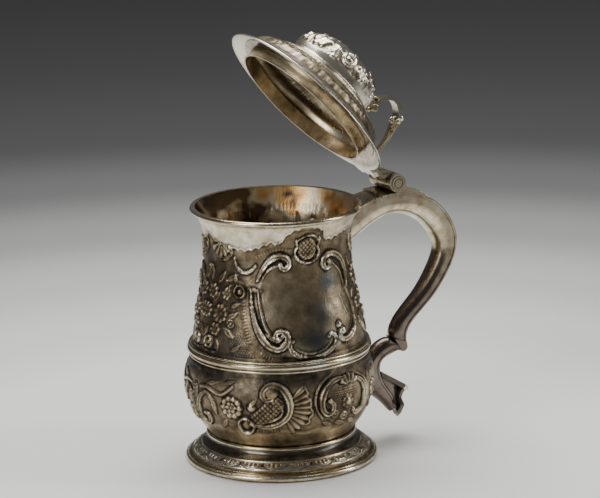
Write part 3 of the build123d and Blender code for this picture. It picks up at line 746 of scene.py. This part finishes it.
def wall_values(inner_rows, hollow_and_shade, polish, stain_and_shade):
    """Surface values for both sides of a wall: fields outside, and only the toning inside."""
    outside = {"hollow_and_shade": hollow_and_shade, "polish": polish, "stain_and_shade": stain_and_shade, "inside": np.zeros(hollow_and_shade.shape)}
    return {key: np.hstack([np.full((AROUND, inner_rows), float(key == "inside")), value])
            for key, value in outside.items()}


# %% The drum's wall
THROUGH = 0.8                # how much of the relief shows on the inside
DIP = 0.35                   # mm by which the worked ground lies below the plain parts
GRAIN = 0.05                 # mm of roughness that the punch leaves
HAMMER = 0.16                # mm of unevenness from the hammer
rng = np.random.RandomState(7)

drum_relief = mirrored(DRUM_ORNAMENT, unrolled(HALF_DEG, drum_high, DRUM_R))
drum_clear = kept_clear(drum_high, 16, 120, 175)
drum_clear *= soft((drum_high - 75.4) / 1.6) * soft((154.4 - drum_high) / 1.5)
edge_rib = 0.55 * np.exp(-(above_band / 0.55) ** 2)
drum_relief = np.maximum(drum_relief, edge_rib) * drum_clear
plain = np.maximum(band * (drum_relief < 0.25), field * (drum_relief < 0.1))
grain = rng.uniform(-1, 1, drum_relief.shape)
ground_dip = -DIP * (1 - np.maximum(band, field)) * drum_clear
strokes = 0.5 + 0.5 * np.sin(np.hypot(drum_u + 40, drum_v - 92) * 3.4)
combed = np.exp(-((drum_u + 22) / 7) ** 2 - ((drum_v - 112) / 15) ** 2) * field * (drum_relief < 0.1)
drum_push = drum_relief + ground_dip - 0.10 * strokes * combed + GRAIN * grain * (1 - plain) * drum_clear
drum_push += HAMMER * hammered(AROUND, len(drum_high), 3) * drum_clear
# the hollows' black, plus painted shade: the wall outside the field is darkened below 84 mm, next to the girdle
drum_hollow_and_shade = hollows(drum_relief + ground_dip) + 0.55 * soft((84 - drum_v) / 12) * (1 - field)
drum_polish = np.clip(0.9 * band + 0.25 * field + 0.9 * raised(drum_relief, 4), 0, 1)
drum_stain = smear(drum_u, drum_v, [(17, 119, 9, 8, 1.0), (9, 101, 10, 13, 0.85), (3, 86, 12, 10, 1.0),
                                    (-44, 130, 7, 5, 0.5), (-48, 84, 10, 8, 0.5), (-32, 119, 4, 5, 0.6)])
drum_stain *= 1 - 0.6 * band

drum_inside = THROUGH * drum_push[:, matching_rows(len(drum_outer), len(drum_inner))]
drum_inside[:, [0, -1]] = 0
drum = add_lathe("chased_drum", np.vstack([drum_inner[::-1], drum_outer]),
                 np.vstack([outward(drum_inner)[::-1], outward(drum_outer)]),
                 np.hstack([drum_inside[:, ::-1], drum_push]),
                 wall_values(len(drum_inner), drum_hollow_and_shade, drum_polish, drum_stain))
print("drum relief up to", round(float(drum_relief.max()), 2), "mm")

# %% [markdown]
# ## The bowl
#
# Below the girdle the wall swells into a bowl with its own band of ornament: big C-scrolls that hold
# fish scales, a cabochon, a beaded flower, and a shell frame with a flower boss in stippled ground.

# %% The bowl's ornament
BOWL_LINE = [(53.6, 71), (57.6, 60), (58.4, 50), (56.5, 38), (50.5, 26.5), (44.8, 18.6)]
BOWL_R = 57.0
BOWL_FLOOR = 18.0            # underside of the flat bottom
FLOOR_R = 44.0               # where the flat bottom meets the wall

BOWL_ORNAMENT = [
    # the great crescent with its fish scales
    (lattice_band, [(-36, 39), (-32, 42), (-28, 46), (-25, 49)], 11.0, 1.3, 2.3),
    (scroll, [(-27, 53), (-30.5, 52), (-33, 55), (-31.5, 59.4), (-27, 62), (-21.5, 60.5), (-18, 56),
              (-16, 50), (-16.5, 43), (-21, 37.5), (-28, 34.6), (-35, 34.8),
                 (-40, 36.5)], 5.0, 2.2, 0.3, (0.7, 0.4)),
    (cord_line, [(-25.5, 52), (-22, 49), (-20.2, 45), (-22.5, 41), (-28, 38), (-35, 37.4)], 1.5, 1.3),
    (boss, (-27.5, 57), 4.6, 2.0),
    # the fluted wing behind it
    (leaf, (-17, 48), (-6, 62), 4.2, 1.0, 2),
    (fan, (-23, 47), 21, 1.1, -12, 56, 9, 0.25),
    (cord_line, [(-8, 60), (-5.5, 56), (-6.5, 53), (-3, 50), (-4.5, 46.5), (-1.5, 42), (-5, 39), (-3.5, 36),
                 (-9, 34.5)], 1.2, 0.9),
    # left: beaded flower, cabochon, bud, oval scroll, drapery
    (bead_flower, (-52.6, 46), 7.8, 1.9, 10),
    (cup, (-43.6, 35), 6.0, 2.2),
    (boss, (-39.4, 47), 2.8, 1.8),
    (leaf, (-42, 46.5), (-36, 52.5), 3.8, 1.5),
    (scroll, [(-72.5, 53), (-78.5, 49), (-81, 42), (-80.5, 35), (-76, 31.4), (-71, 34), (-71, 38.4),
              (-74.5, 39)],
     4.2, 1.8, 0.5),
    (scroll, [(-72, 53), (-68, 50), (-67, 45.5)], 2.6, 1.3, 0.4),
    (leaf, (-66.8, 50), (-64.4, 39.5), 4.4, 1.8),
    (cord_line, [(-78, 55), (-72, 56.4), (-66, 54), (-60, 52.6), (-55.5, 55.4), (-51.5, 59)], 2.4, 1.2),
    (leaf, (-72, 58), (-62, 60.5), 3.6, 1.0),
    (leaf, (-58, 60), (-49, 62.5), 3.2, 0.9),
    (leaf, (-83, 57), (-82, 30), 6.4, 1.6, 9),
    (leaf, (-57, 37.5), (-62, 30.5), 3.6, 1.1),
    # right: the shell frame with the flower boss
    (stipple, (21, 45.5), 12.5, 0.5, 1.5),
    (scroll, [(20, 61), (13.5, 61.5), (7, 58), (3.6, 52), (3.2, 45), (6.6, 40), (11, 41), (12, 45.5),
              (9, 48.5)],
     4.6, 2.0, 0.5, (0.6, 0.6)),
    (cord_line, [(12, 65), (4, 61.5), (-0.6, 54), (-0.6, 45), (4.5, 37.5)], 1.6, 1.1),
    (fan, (23.5, 55.5), 8.6, 1.9, 88, 76, 5),
    (rosette, (22.5, 46), 5.0, 1.5, 7),
    (boss, (22.5, 46), 2.7, 2.2),
    (scroll, [(27, 60), (33, 58.5), (38, 53), (39.5, 46), (37, 39), (31, 36), (28, 39.5)], 4.2, 1.8, 0.5),
    (cord_line, [(32, 62), (40, 57), (43.5, 48), (41, 38), (34, 32.5)], 1.6, 1.1),
    (cup, (13, 39.5), 2.6, 1.2),
    (cup, (20.5, 37), 2.8, 1.2),
    (leaf, (5, 35), (13, 31.5), 3.6, 1.2),
    (leaf, (14, 33.4), (25, 31), 4.0, 1.3),
    (leaf, (26, 33), (35, 29.5), 3.6, 1.1),
    # on towards the handle
    (rosette, (54, 47), 6.4, 1.7, 8),
    (leaf, (48, 56), (57, 61), 4.4, 1.2),
    (leaf, (50, 38), (58, 33), 4.4, 1.2),
    (leaf, (45, 60), (44, 50), 3.8, 1.2),
    (teeth, [(-34, 66), (-18, 66.6), (-8, 65.4)], 1.6, 0.3, 2.2),
    (teeth, [(-40, 31), (-30, 31), (-22, 31.4)], 1.6, 0.4, 1.9),
]

# %% The bowl's wall
bowl_wall = natural_curve(BOWL_LINE[::-1], 112)
bowl_outer = np.vstack([[(r, BOWL_FLOOR) for r in (0, 22, FLOOR_R)], bowl_wall])
inner_line = [(FLOOR_R, BOWL_FLOOR + WALL)] + [(r - WALL, z) for r, z in BOWL_LINE[-2::-1]]
inner_wall = natural_curve(inner_line, 44)
bowl_inner = np.vstack([[(r, BOWL_FLOOR + WALL) for r in (0, 15, 30)], inner_wall])
floor_rows = len(bowl_outer) - len(bowl_wall)
bowl_high = bowl_wall[:, 1]
bowl_u, bowl_v = unrolled(HANDLE_DEG, bowl_high, BOWL_R)
bowl_clear = kept_clear(bowl_high, 13, 36, 75)
bowl_clear *= soft((bowl_high - 27) / 3) * soft((66 - bowl_high) / 2)
bowl_relief = mirrored(BOWL_ORNAMENT, unrolled(HALF_DEG, bowl_high, BOWL_R)) * bowl_clear
matted = soft((bowl_v - 29 - 1.5 * np.sin(bowl_u / 4)) / 2)
bowl_push = bowl_relief + bowl_clear * (HAMMER * hammered(AROUND, len(bowl_high), 5) - 0.3 * matted
                                        + GRAIN * matted * rng.uniform(-1, 1, bowl_relief.shape))
# painted shade: the bowl darkened under the girdle, above 54 mm, and next to the foot, below 20.5 mm, carried with the
# hollows' black
shade_by_girdle_and_foot = 0.85 * soft((bowl_v - 54) / 12) + 0.5 * soft((20.5 - bowl_v) / 2)
bowl_hollow_and_shade = np.maximum(hollows(bowl_relief), shade_by_girdle_and_foot)
bowl_polish = np.clip(0.35 * (1 - matted) + 0.9 * raised(bowl_relief, 4), 0, 1)
bowl_stain = smear(bowl_u, bowl_v, [(-8, 62, 16, 5, 0.4), (-45, 58, 14, 6, 0.4), (-84, 48, 8, 12, 0.5)])


def with_floor(field):
    """A field of the wall with zeros for the rows of the flat bottom before it."""
    return np.hstack([np.zeros((AROUND, floor_rows)), field])


bowl_inside = with_floor(THROUGH * bowl_push[:, matching_rows(len(bowl_high), len(inner_wall))])
bowl = add_lathe("chased_bowl", np.vstack([bowl_inner[::-1], bowl_outer]),
                 np.vstack([outward(bowl_inner)[::-1], np.tile((0, -1), (floor_rows, 1)), outward(bowl_wall)]),
                 np.hstack([bowl_inside[:, ::-1], with_floor(bowl_push)]),
                 wall_values(len(bowl_inner), *map(with_floor, (bowl_hollow_and_shade, bowl_polish, bowl_stain))))
print("bowl motifs", len(BOWL_ORNAMENT), "relief up to", round(float(bowl_relief.max()), 2), "mm")

# %% [markdown]
# ## The lid
#
# The lid is raised from one sheet: a plain polished brim, a sloping stage that is matted with punch
# marks and chased strokes, a neck, and a dome worked with flowers. It is drawn closed and then
# turned about the hinge to the angle at which the frame's lid stands open. Its sheet is laid out
# like a map of a pole: x and y are distances over the surface from the dome's crown.

# %% The lid's ornament
LID_OPEN_DEG = 49.5          # how far the frame's lid stands from shut
LID_LINE = [(57.4, 159.6), (54.6, 161.0), (51.6, 162.1), (49.3, 165.0), (47.6, 168.3)]
STAGE_LINE = [(47.6, 168.3), (45.0, 169.7), (40.5, 171.4), (36.5, 174.0), (33.0, 175.0), (31.0, 175.8),
              (29.3, 178.0)]
DOME_LINE = [(29.3, 178.0), (29.2, 183.0), (27.0, 190.4), (21.5, 195.2), (12.0, 197.6), (0.0, 198.2)]
RIM_LINE = [(58.7, 157.3), (59.5, 157.6), (59.6, 158.2), (59.1, 158.7)]
RIM_FACING = [(0.3, -0.95), (0.9, -0.3), (0.95, 0.3), (0.3, 0.95)]
UNDER_LINE = [(56.6, 158.7), (54.2, 160.0), (50.9, 161.3), (48.4, 164.4), (46.7, 167.6), (44.6, 168.7),
              (40.0, 170.4), (36.2, 172.9), (32.6, 174.0), (30.2, 174.9), (28.2, 177.8), (28.1, 182.8),
              (26.1, 189.7), (20.9, 194.2), (11.8, 196.5), (0.0, 197.1)]
BRIM_ROWS, STAGE_ROWS, DOME_ROWS, UNDER_ROWS = 16, 72, 78, 76

LID_ORNAMENT = [
    (cup, (-11.2, -27.6), 5.4, 1.5),
    (rosette, (-27, -11), 8.4, 0.9, 6),
    (rosette, (-13, -8), 6.8, 0.8, 6, 0.3),
    (rosette, (2, -31), 6.0, 1.1, 7),
    (rosette, (14, -21), 7.0, 1.0, 6),
    (rosette, (25, -24), 5.0, 0.9, 6),
    (rosette, (-31, 9), 6.4, 0.9, 6),
    (leaf, (-20, -17), (-17, -26), 4.6, 0.8),
    (leaf, (-6, -22), (-3, -13), 5.0, 0.8),
    (leaf, (6, -14), (14, -9), 5.0, 0.8),
    (leaf, (8, -27), (12, -35), 4.6, 0.9),
    (leaf, (-20, -31), (-28, -25), 4.6, 0.8),
    (leaf, (-36, -3), (-28, 2), 4.4, 0.8),
    (leaf, (20, -12), (30, -12), 5.0, 0.8),
    (scroll, [(-20, 0), (-17, 6), (-9, 8), (-3, 4), (-4, -2), (-8, -1)], 3.6, 0.9),
    (scroll, [(22, -30), (29, -27), (33, -19), (30, -12)], 3.4, 0.9),
    (scroll, [(1, -5), (8, -3), (12, 3), (8, 8), (3, 6)], 3.2, 0.9),
]


def half_turn(place):
    """A place, or each place of a list, turned half way round the crown."""
    return (-place[0], -place[1]) if isinstance(place, tuple) else [half_turn(spot) for spot in place]


def ridge(off, width):
    """A bell-shaped ridge that is 1 on its line."""
    return np.exp(-(off / width) ** 2)


def far_from_crown(line):
    """Each spot's distance over the surface from the crown, at the end of the line."""
    steps = np.hypot(*np.diff(line, axis=0).T)
    return np.concatenate([np.cumsum(steps[::-1])[::-1], [0]])


# %% The lid's relief
lid_outer = np.vstack([RIM_LINE, natural_curve(LID_LINE, BRIM_ROWS), natural_curve(STAGE_LINE, STAGE_ROWS)[1:],
                       natural_curve(DOME_LINE, DOME_ROWS)[1:]])
lid_far = far_from_crown(lid_outer)
around = np.radians(TURN_DEG)
lid_x, lid_y = lid_far * np.cos(around)[:, None], lid_far * np.sin(around)[:, None]
lid_relief = np.zeros(lid_x.shape)
for motif, *details in LID_ORNAMENT:
    places = 2 if motif is leaf else 1
    opposite = [half_turn(place) for place in details[:places]]
    for there in (details[:places], opposite):
        lid_relief = motif(lid_relief, (lid_x, lid_y), *there, *details[places:])
on_dome = soft((38 - lid_far) / 2)
on_stage = soft((lid_far - 51) / 1.2) * soft((69.5 - lid_far) / 1.2)
fringe = np.abs(np.sin(around * 70))[:, None] ** 2 * soft((lid_far - 53) / 1) * soft((62 - lid_far) / 1)
lid_relief = box_blur(lid_relief, 1) * 1.15
speckle = box_blur(rng.uniform(0, 1, lid_relief.shape), 1)
speckle = np.clip((speckle - 0.5) * 5 + 0.5, 0, 1)
lid_clear = 1 - soft((14 - HANDLE_DEG) / 3)[:, None] * soft((lid_far - 38) / 3)
stage_work = on_stage * (0.30 * fringe + 0.34 * speckle) - 0.32 * on_stage
dome_work = 0.18 * on_dome * speckle * soft((lid_far - 3) / 8) - 0.25 * on_dome
beaten = 0.14 * hammered(AROUND, len(lid_far), 9) * soft(lid_far / 8) * (on_dome + on_stage)
lid_push = lid_clear * (lid_relief * on_dome + stage_work + dome_work + beaten)
for ring, height in ((51.4, 0.6), (49.6, 0.55), (42.6, 0.5), (69.6, 0.35)):
    lid_push += lid_clear * height * ridge(lid_far - ring, 0.5)
lid_push[:, -1] = 0.3        # one height for the whole crown, so that the pole closes
matting_hollow = on_stage * (0.45 * (1 - fringe) + 0.45 * (speckle < 0.4))
lid_hollow = np.clip(hollows(lid_relief * on_dome) + matting_hollow, 0, 1)
lid_polish = np.clip(1 - 0.9 * on_stage - 0.5 * on_dome + raised(lid_relief, 5), 0, 1)
lid_stain = smear(lid_x, lid_y, [(12, -30, 12, 10, 0.5), (30, -42, 14, 12, 0.35)])
print("lid motifs", 2 * len(LID_ORNAMENT), "crown to brim", round(float(lid_far[0]), 1), "mm over the surface")

# %% The lid's inside, and the whole lid
lid_under = natural_curve(UNDER_LINE, UNDER_ROWS)
under_far = far_from_crown(lid_under)
rim_rows = len(RIM_LINE)
across_from = np.array([np.abs(lid_far[rim_rows:] - far).argmin() + rim_rows for far in under_far])
lid_inside = 0.75 * lid_push[:, across_from] * soft((62 - under_far) / 2) * soft(under_far / 2)
lid_facing = outward(lid_outer)
lid_facing[:rim_rows] = RIM_FACING
lid_values = wall_values(UNDER_ROWS, lid_hollow, lid_polish, lid_stain)
below = under_far[::-1]
under_brim = soft((below - 68) / 4)
turned_rings = 0.6 * ridge(below - 47, 1.2) + 0.5 * ridge(below - 40, 1.0)
dents = 0.35 * np.abs(np.sin(around * 40))[:, None] ** 4 * soft((below - 54) / 1) * soft((61 - below) / 1)
lid_values["inside"][:, :UNDER_ROWS] = 0.2 * (1 - under_brim)
lid_values["polish"][:, :UNDER_ROWS] = 0.5 + 0.5 * under_brim
lid_values["hollow_and_shade"][:, :UNDER_ROWS] = turned_rings + dents
hinge = next(joint for joint in frame["joints"] if joint["name"] == "lid_hinge")
hinge_place = Matrix.Translation(Vector(hinge["pos_m"]))
opening = hinge_place @ Matrix.Rotation(math.radians(LID_OPEN_DEG), 4, "Y") @ hinge_place.inverted()
lid = add_lathe("chased_lid", np.vstack([lid_under[::-1], lid_outer]),
                np.vstack([outward(lid_under)[::-1], lid_facing]),
                np.hstack([lid_inside[:, ::-1], lid_push]), lid_values, tilt=opening)

# %% [markdown]
# ## The foot
#
# The foot is a spread ring: a polished cove in painted shade, a shoulder, and a rounded band engraved with festoons.
# Engraving removes metal, so here the relief is cut in, not raised.

# %% The engraved foot
FOOT_AROUND = 720            # finer than the walls, because the cuts are thin
FESTOONS = 22
ENGRAVED_MM = 0.5            # depth of a cut, deeper than real so that it shows
cove = natural_curve([(44.6, 15.8), (45.0, 14.2), (46.1, 12.9), (47.6, 11.9), (49.3, 11.2)], 16)
shoulder = natural_curve([(49.8, 10.4), (51.4, 9.7), (52.9, 8.7), (54.3, 7.5), (55.4, 6.2)], 22)
edge = [(56.3, 5.7), (57.2, 5.2), (57.8, 4.7), (58.2, 4.2), (58.2, 2.1), (58.2, 0.0), (57.4, 0.0),
        (56.6, 0.0), (56.5, 1.7), (56.4, 3.4)]
under = natural_curve([(56.4, 3.4), (54.4, 5.6), (52.0, 7.2), (50.3, 8.6), (48.4, 9.6), (46.2, 10.6),
                       (44.8, 12.0), (43.6, 14.0), (43.1, 15.8), (43.1, 18.0)], 20)
foot_profile = np.vstack([cove, shoulder, edge, under[1:], [(44.0, 18.0), (44.6, 17.6)]])[::-1]
turn = (np.arange(FOOT_AROUND) / FOOT_AROUND * FESTOONS)[:, None] % 1
across = np.full(len(foot_profile), -1.0)      # 0 to 1 over the engraved shoulder, -1 elsewhere
first = len(foot_profile) - len(cove) - len(shoulder)
across[first:first + len(shoulder)] = np.linspace(1, 0, len(shoulder))
swag = 0.38 + 0.42 * 4 * turn * (1 - turn)
festoon = ridge(across - swag, 0.06) + 0.7 * ridge(across - swag + 0.16, 0.05)
petals = np.abs(np.sin(turn * math.pi * 5)) ** 6
petals = petals * soft((across - 0.12) / 0.1) * soft((swag - 0.2 - across) / 0.1)
drops = ridge((turn + 0.5) % 1 - 0.5, 0.04) * soft((0.62 - across) / 0.1) * soft((across - 0.1) / 0.1)
borders = ridge(across - 0.04, 0.04) + ridge(across - 0.93, 0.04)
cut = np.where(across >= 0, np.clip(festoon + 0.8 * petals + drops + borders, 0, 1), 0)
# the stain value lays sulphide grey over the cove and the hidden underside above 11.3 mm: painted shade under the bowl
foot_values = {"hollow_and_shade": cut, "polish": np.where(across >= 0, 1.4, 0.3),
               "stain_and_shade": 0.75 * ((across < 0) & (foot_profile[:, 1] > 11.3)), "inside": 0.0}
foot = add_lathe("engraved_foot", foot_profile, outward(foot_profile), -ENGRAVED_MM * cut, foot_values)
print("festoons", FESTOONS, "each", round(2 * math.pi * 53 / FESTOONS, 1), "mm long")

# %% [markdown]
# ## Finishes
#
# All of the tankard is one metal, so what tells its pieces apart is how each was worked and how often
# it is touched. One finish for everything would look like a casting. A hand-painted image would hold
# only for one piece, so each kind of work gets its own settings of the one silver recipe. Chased work
# keeps the most tarnish, because a cloth rides over its hollows. Wires and mouldings are dark only in
# their grooves, where ambient occlusion lays tarnish and painted shade together. The handle is worn
# smooth by hands at the top, and its colour turns darker and purple-brown towards the bottom. The
# thumbpiece and the hinge's small parts are rubbed at each use, and are the brightest.

# %% Finishes
# Chased, oxidised sterling silver: punched ground, thick brown film, bright high spots.
chased = tarnished_silver("chased_oxidised_silver", film=0.84, darkest=1.0, roughness=0.25, chased=True,
                          matting=0.1, kept=0.66)
# The lid's silver is cleaned more often: a thinner film, and a finer mat between the flowers.
lid_finish = tarnished_silver("chased_lid_silver", film=0.5, darkest=0.8, roughness=0.25, chased=True,
                              matting=0.06, kept=0.5)
# Engraved silver: burnished smooth between black cuts, with painted shade laid over the cove.
foot_finish = tarnished_silver("engraved_foot_silver", film=0.85, darkest=1.0, roughness=0.17, chased=True,
                               kept=0.5)
# Drawn and turned wire: bright ribs, with black in the narrow grooves, laid by ambient occlusion: tarnish and painted
# shade together.
reeded = tarnished_silver("reeded_silver", film=0.35, darkest=1.0, roughness=0.18, occlusion_reach_mm=1.6)
# Plain sheet that hands have worn to a soft sheen, its colour darker and purple-brown towards the bottom, with painted
# shade from ambient occlusion where it meets the body.
worn = tarnished_silver("handled_silver", film=0.40, darkest=0.9, roughness=0.20, occlusion_reach_mm=3.0,
                        low_mm=(138, 84))
# Filed castings, a little dark where they meet: painted shade from ambient occlusion, with tarnish in the creases.
hinge_finish = tarnished_silver("hinge_silver", film=0.35, darkest=1.0, roughness=0.2, occlusion_reach_mm=2.0)
# Polished castings, nearly free of film; ambient occlusion still lays a little black on them as painted shade where
# they meet.
bright = tarnished_silver("polished_silver", film=0.12, darkest=0.95, roughness=0.17, occlusion_reach_mm=2.0)

# %% Each piece gets its finish
adopt(drum, "vessel", "upper_drum", "chased_silver", chased)
adopt(bowl, "vessel", "lower_bowl", "chased_silver", chased)
adopt(lid, "lid", "lid_shell", "chased_silver", lid_finish)
adopt(foot, "vessel", "foot_ring", "oxidised_silver", foot_finish)
REPLACED = ["upper_drum", "lower_bowl", "lid_shell", "foot_ring"]
REEDED = ["lip_moulding", "girdle_moulding", "foot_collar", "foot_edge_wire", "lid_step_moulding", "lid_bezel"]
RUBBED = ["thumb_scroll", "thumb_ball", "tail_bead", "hinge_drop", "lid_brim_tab"]
HANDLED = ["upper_handle_pad", "lower_handle_pad", "handle_upper_trough", "handle_upper_strap",
           "handle_lower_trough", "handle_lower_strap", "handle_spur", "tail_shield"]
rest_of_them = sorted(set(nodes) - set(REPLACED + REEDED + RUBBED + HANDLED))
for names, finish in ((REEDED, reeded), (RUBBED, bright), (HANDLED, worn), (rest_of_them, hinge_finish)):
    assign(names, finish)
    print(finish.name, len(names), "nodes")

# %% [markdown]
# ## Floor and light
#
# Polished silver has hardly any colour of its own: it shows the room. So the room is part of the
# finish. A white tent would make the silver flat and pale, and bare lamps would leave hard dots. Here
# big soft lights over and beside the tankard give it broad highlights, and the dim grey surroundings
# give it the dark lines that make metal look like metal. The floor is a sheet of paper whose colour is
# a painted pool of light: pale under the tankard and painted darker further out, where the lamps' light
# would fall off. It is the same on every side, so it looks right from everywhere.

# %% Floor
FLOOR_M = 40.0               # far past the view on every side
# distance from the tankard in metres, and the paper's colour there, which paints a pool of light round the tankard
FLOOR_PAINTED_LIGHT_POOL = [(0.2, "#F0F0EC"), (0.335, "#DADAD7"), (0.47, "#BDBDBB"), (0.62, "#939391"), (0.79, "#666666"),
              (0.99, "#464646"), (1.4, "#3E3E3E")]
PAINTED_POOL_END_M = 1.6               # metres that the whole ramp spans


def add_floor():
    """A sheet of studio paper painted with a pool of light: pale round the tankard and darker further out on every
    side.
    """
    deselect()
    bpy.ops.mesh.primitive_plane_add(size=FLOOR_M)
    floor = bpy.context.object
    floor.name = "studio_floor"
    material = bpy.data.materials.new("studio_paper")
    material.use_nodes = True
    tree = material.node_tree
    place = add_node(tree, "ShaderNodeTexCoord").outputs["Object"]
    distance = add_node(tree, "ShaderNodeVectorMath", {0: place}, operation="LENGTH").outputs["Value"]
    share = add_node(tree, "ShaderNodeMath", {0: distance, 1: PAINTED_POOL_END_M}, operation="DIVIDE").outputs[0]
    painted_pool = set_ramp(add_node(tree, "ShaderNodeValToRGB", {"Fac": share}),
                    [(metres / PAINTED_POOL_END_M, srgb(code)) for metres, code in FLOOR_PAINTED_LIGHT_POOL])
    painted_pool.color_ramp.interpolation = "EASE"
    paper = tree.nodes["Principled BSDF"]
    tree.links.new(painted_pool.outputs["Color"], paper.inputs["Base Color"])
    paper.inputs["Roughness"].default_value = 0.75
    floor.data.materials.append(material)
    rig.stage(floor)


add_floor()
print("floor fades over", PAINTED_POOL_END_M, "m")

# %% Lights
LIT_SPOT = (0.0, 0.0, 0.13)  # the middle of the tankard, in metres


def add_softbox(name, place, size, power):
    """A white rectangular studio light that faces the tankard, its power in watts."""
    deselect()
    bpy.ops.object.light_add(type="AREA", location=place)
    lamp = bpy.context.object
    lamp.name = name
    lamp.data.shape = "RECTANGLE"
    lamp.data.size, lamp.data.size_y = size
    lamp.data.energy = power
    lamp.rotation_euler = (Vector(LIT_SPOT) - Vector(place)).to_track_quat("-Z", "Y").to_euler()
    print(name, power, "W")


add_softbox("top_softbox", (0.2, 0.5, 1.9), (1.6, 1.2), 44)
add_softbox("left_softbox", (-1.8, -0.6, 0.9), (0.9, 1.4), 24)
add_softbox("right_strip", (1.5, -0.9, 0.8), (0.3, 1.5), 14)

world = bpy.data.worlds.new("studio")
bpy.context.scene.world = world
world.use_nodes = True
sky = world.node_tree.nodes["Background"]
sky.inputs["Color"].default_value = srgb("#8A8A8A")
sky.inputs["Strength"].default_value = 0.4

# %% [markdown]
# ## Camera
#
# A tankard is photographed from a little above its rim and from well back, with a long lens, so that
# its ellipses stay natural and its foot doesn't shrink. A short lens close by would fill the view too,
# but it would swell the lid. The camera's three directions are given outright, because it leans by a
# degree, which an aim point alone can't say.

# %% Camera
CAMERA_PLACE = Vector((-0.8398, -1.5827, 0.5720))
CAMERA_BACK = Vector((-0.46185, -0.85418, 0.23887))
CAMERA_RIGHT = Vector((0.87965, -0.47562, 0.0))
CAMERA_UP = Vector((0.11361, 0.21012, 0.97105))
CAMERA_ROLL = math.radians(1.189)
LENS_MM = 180.5

deselect()
bpy.ops.object.camera_add()
camera = bpy.context.object
camera.name = "studio_camera"
camera.data.lens = LENS_MM
across_view = CAMERA_RIGHT * math.cos(CAMERA_ROLL) - CAMERA_UP * math.sin(CAMERA_ROLL)
up_view = CAMERA_RIGHT * math.sin(CAMERA_ROLL) + CAMERA_UP * math.cos(CAMERA_ROLL)
turned = Matrix((across_view, up_view, CAMERA_BACK)).transposed().to_4x4()
camera.matrix_world = Matrix.Translation(CAMERA_PLACE) @ turned
camera.data.clip_start, camera.data.clip_end = 0.05, 60
bpy.context.scene.camera = camera
print("camera", round(CAMERA_PLACE.length, 2), "m from the foot, lens", LENS_MM, "mm")

# %% Sizes, and done
json.dump({"cad": [list(c) for c in cad_box], "visual": [list(c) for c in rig.bounds()]}, open("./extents.json", "w"))
print("size", open("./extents.json").read())
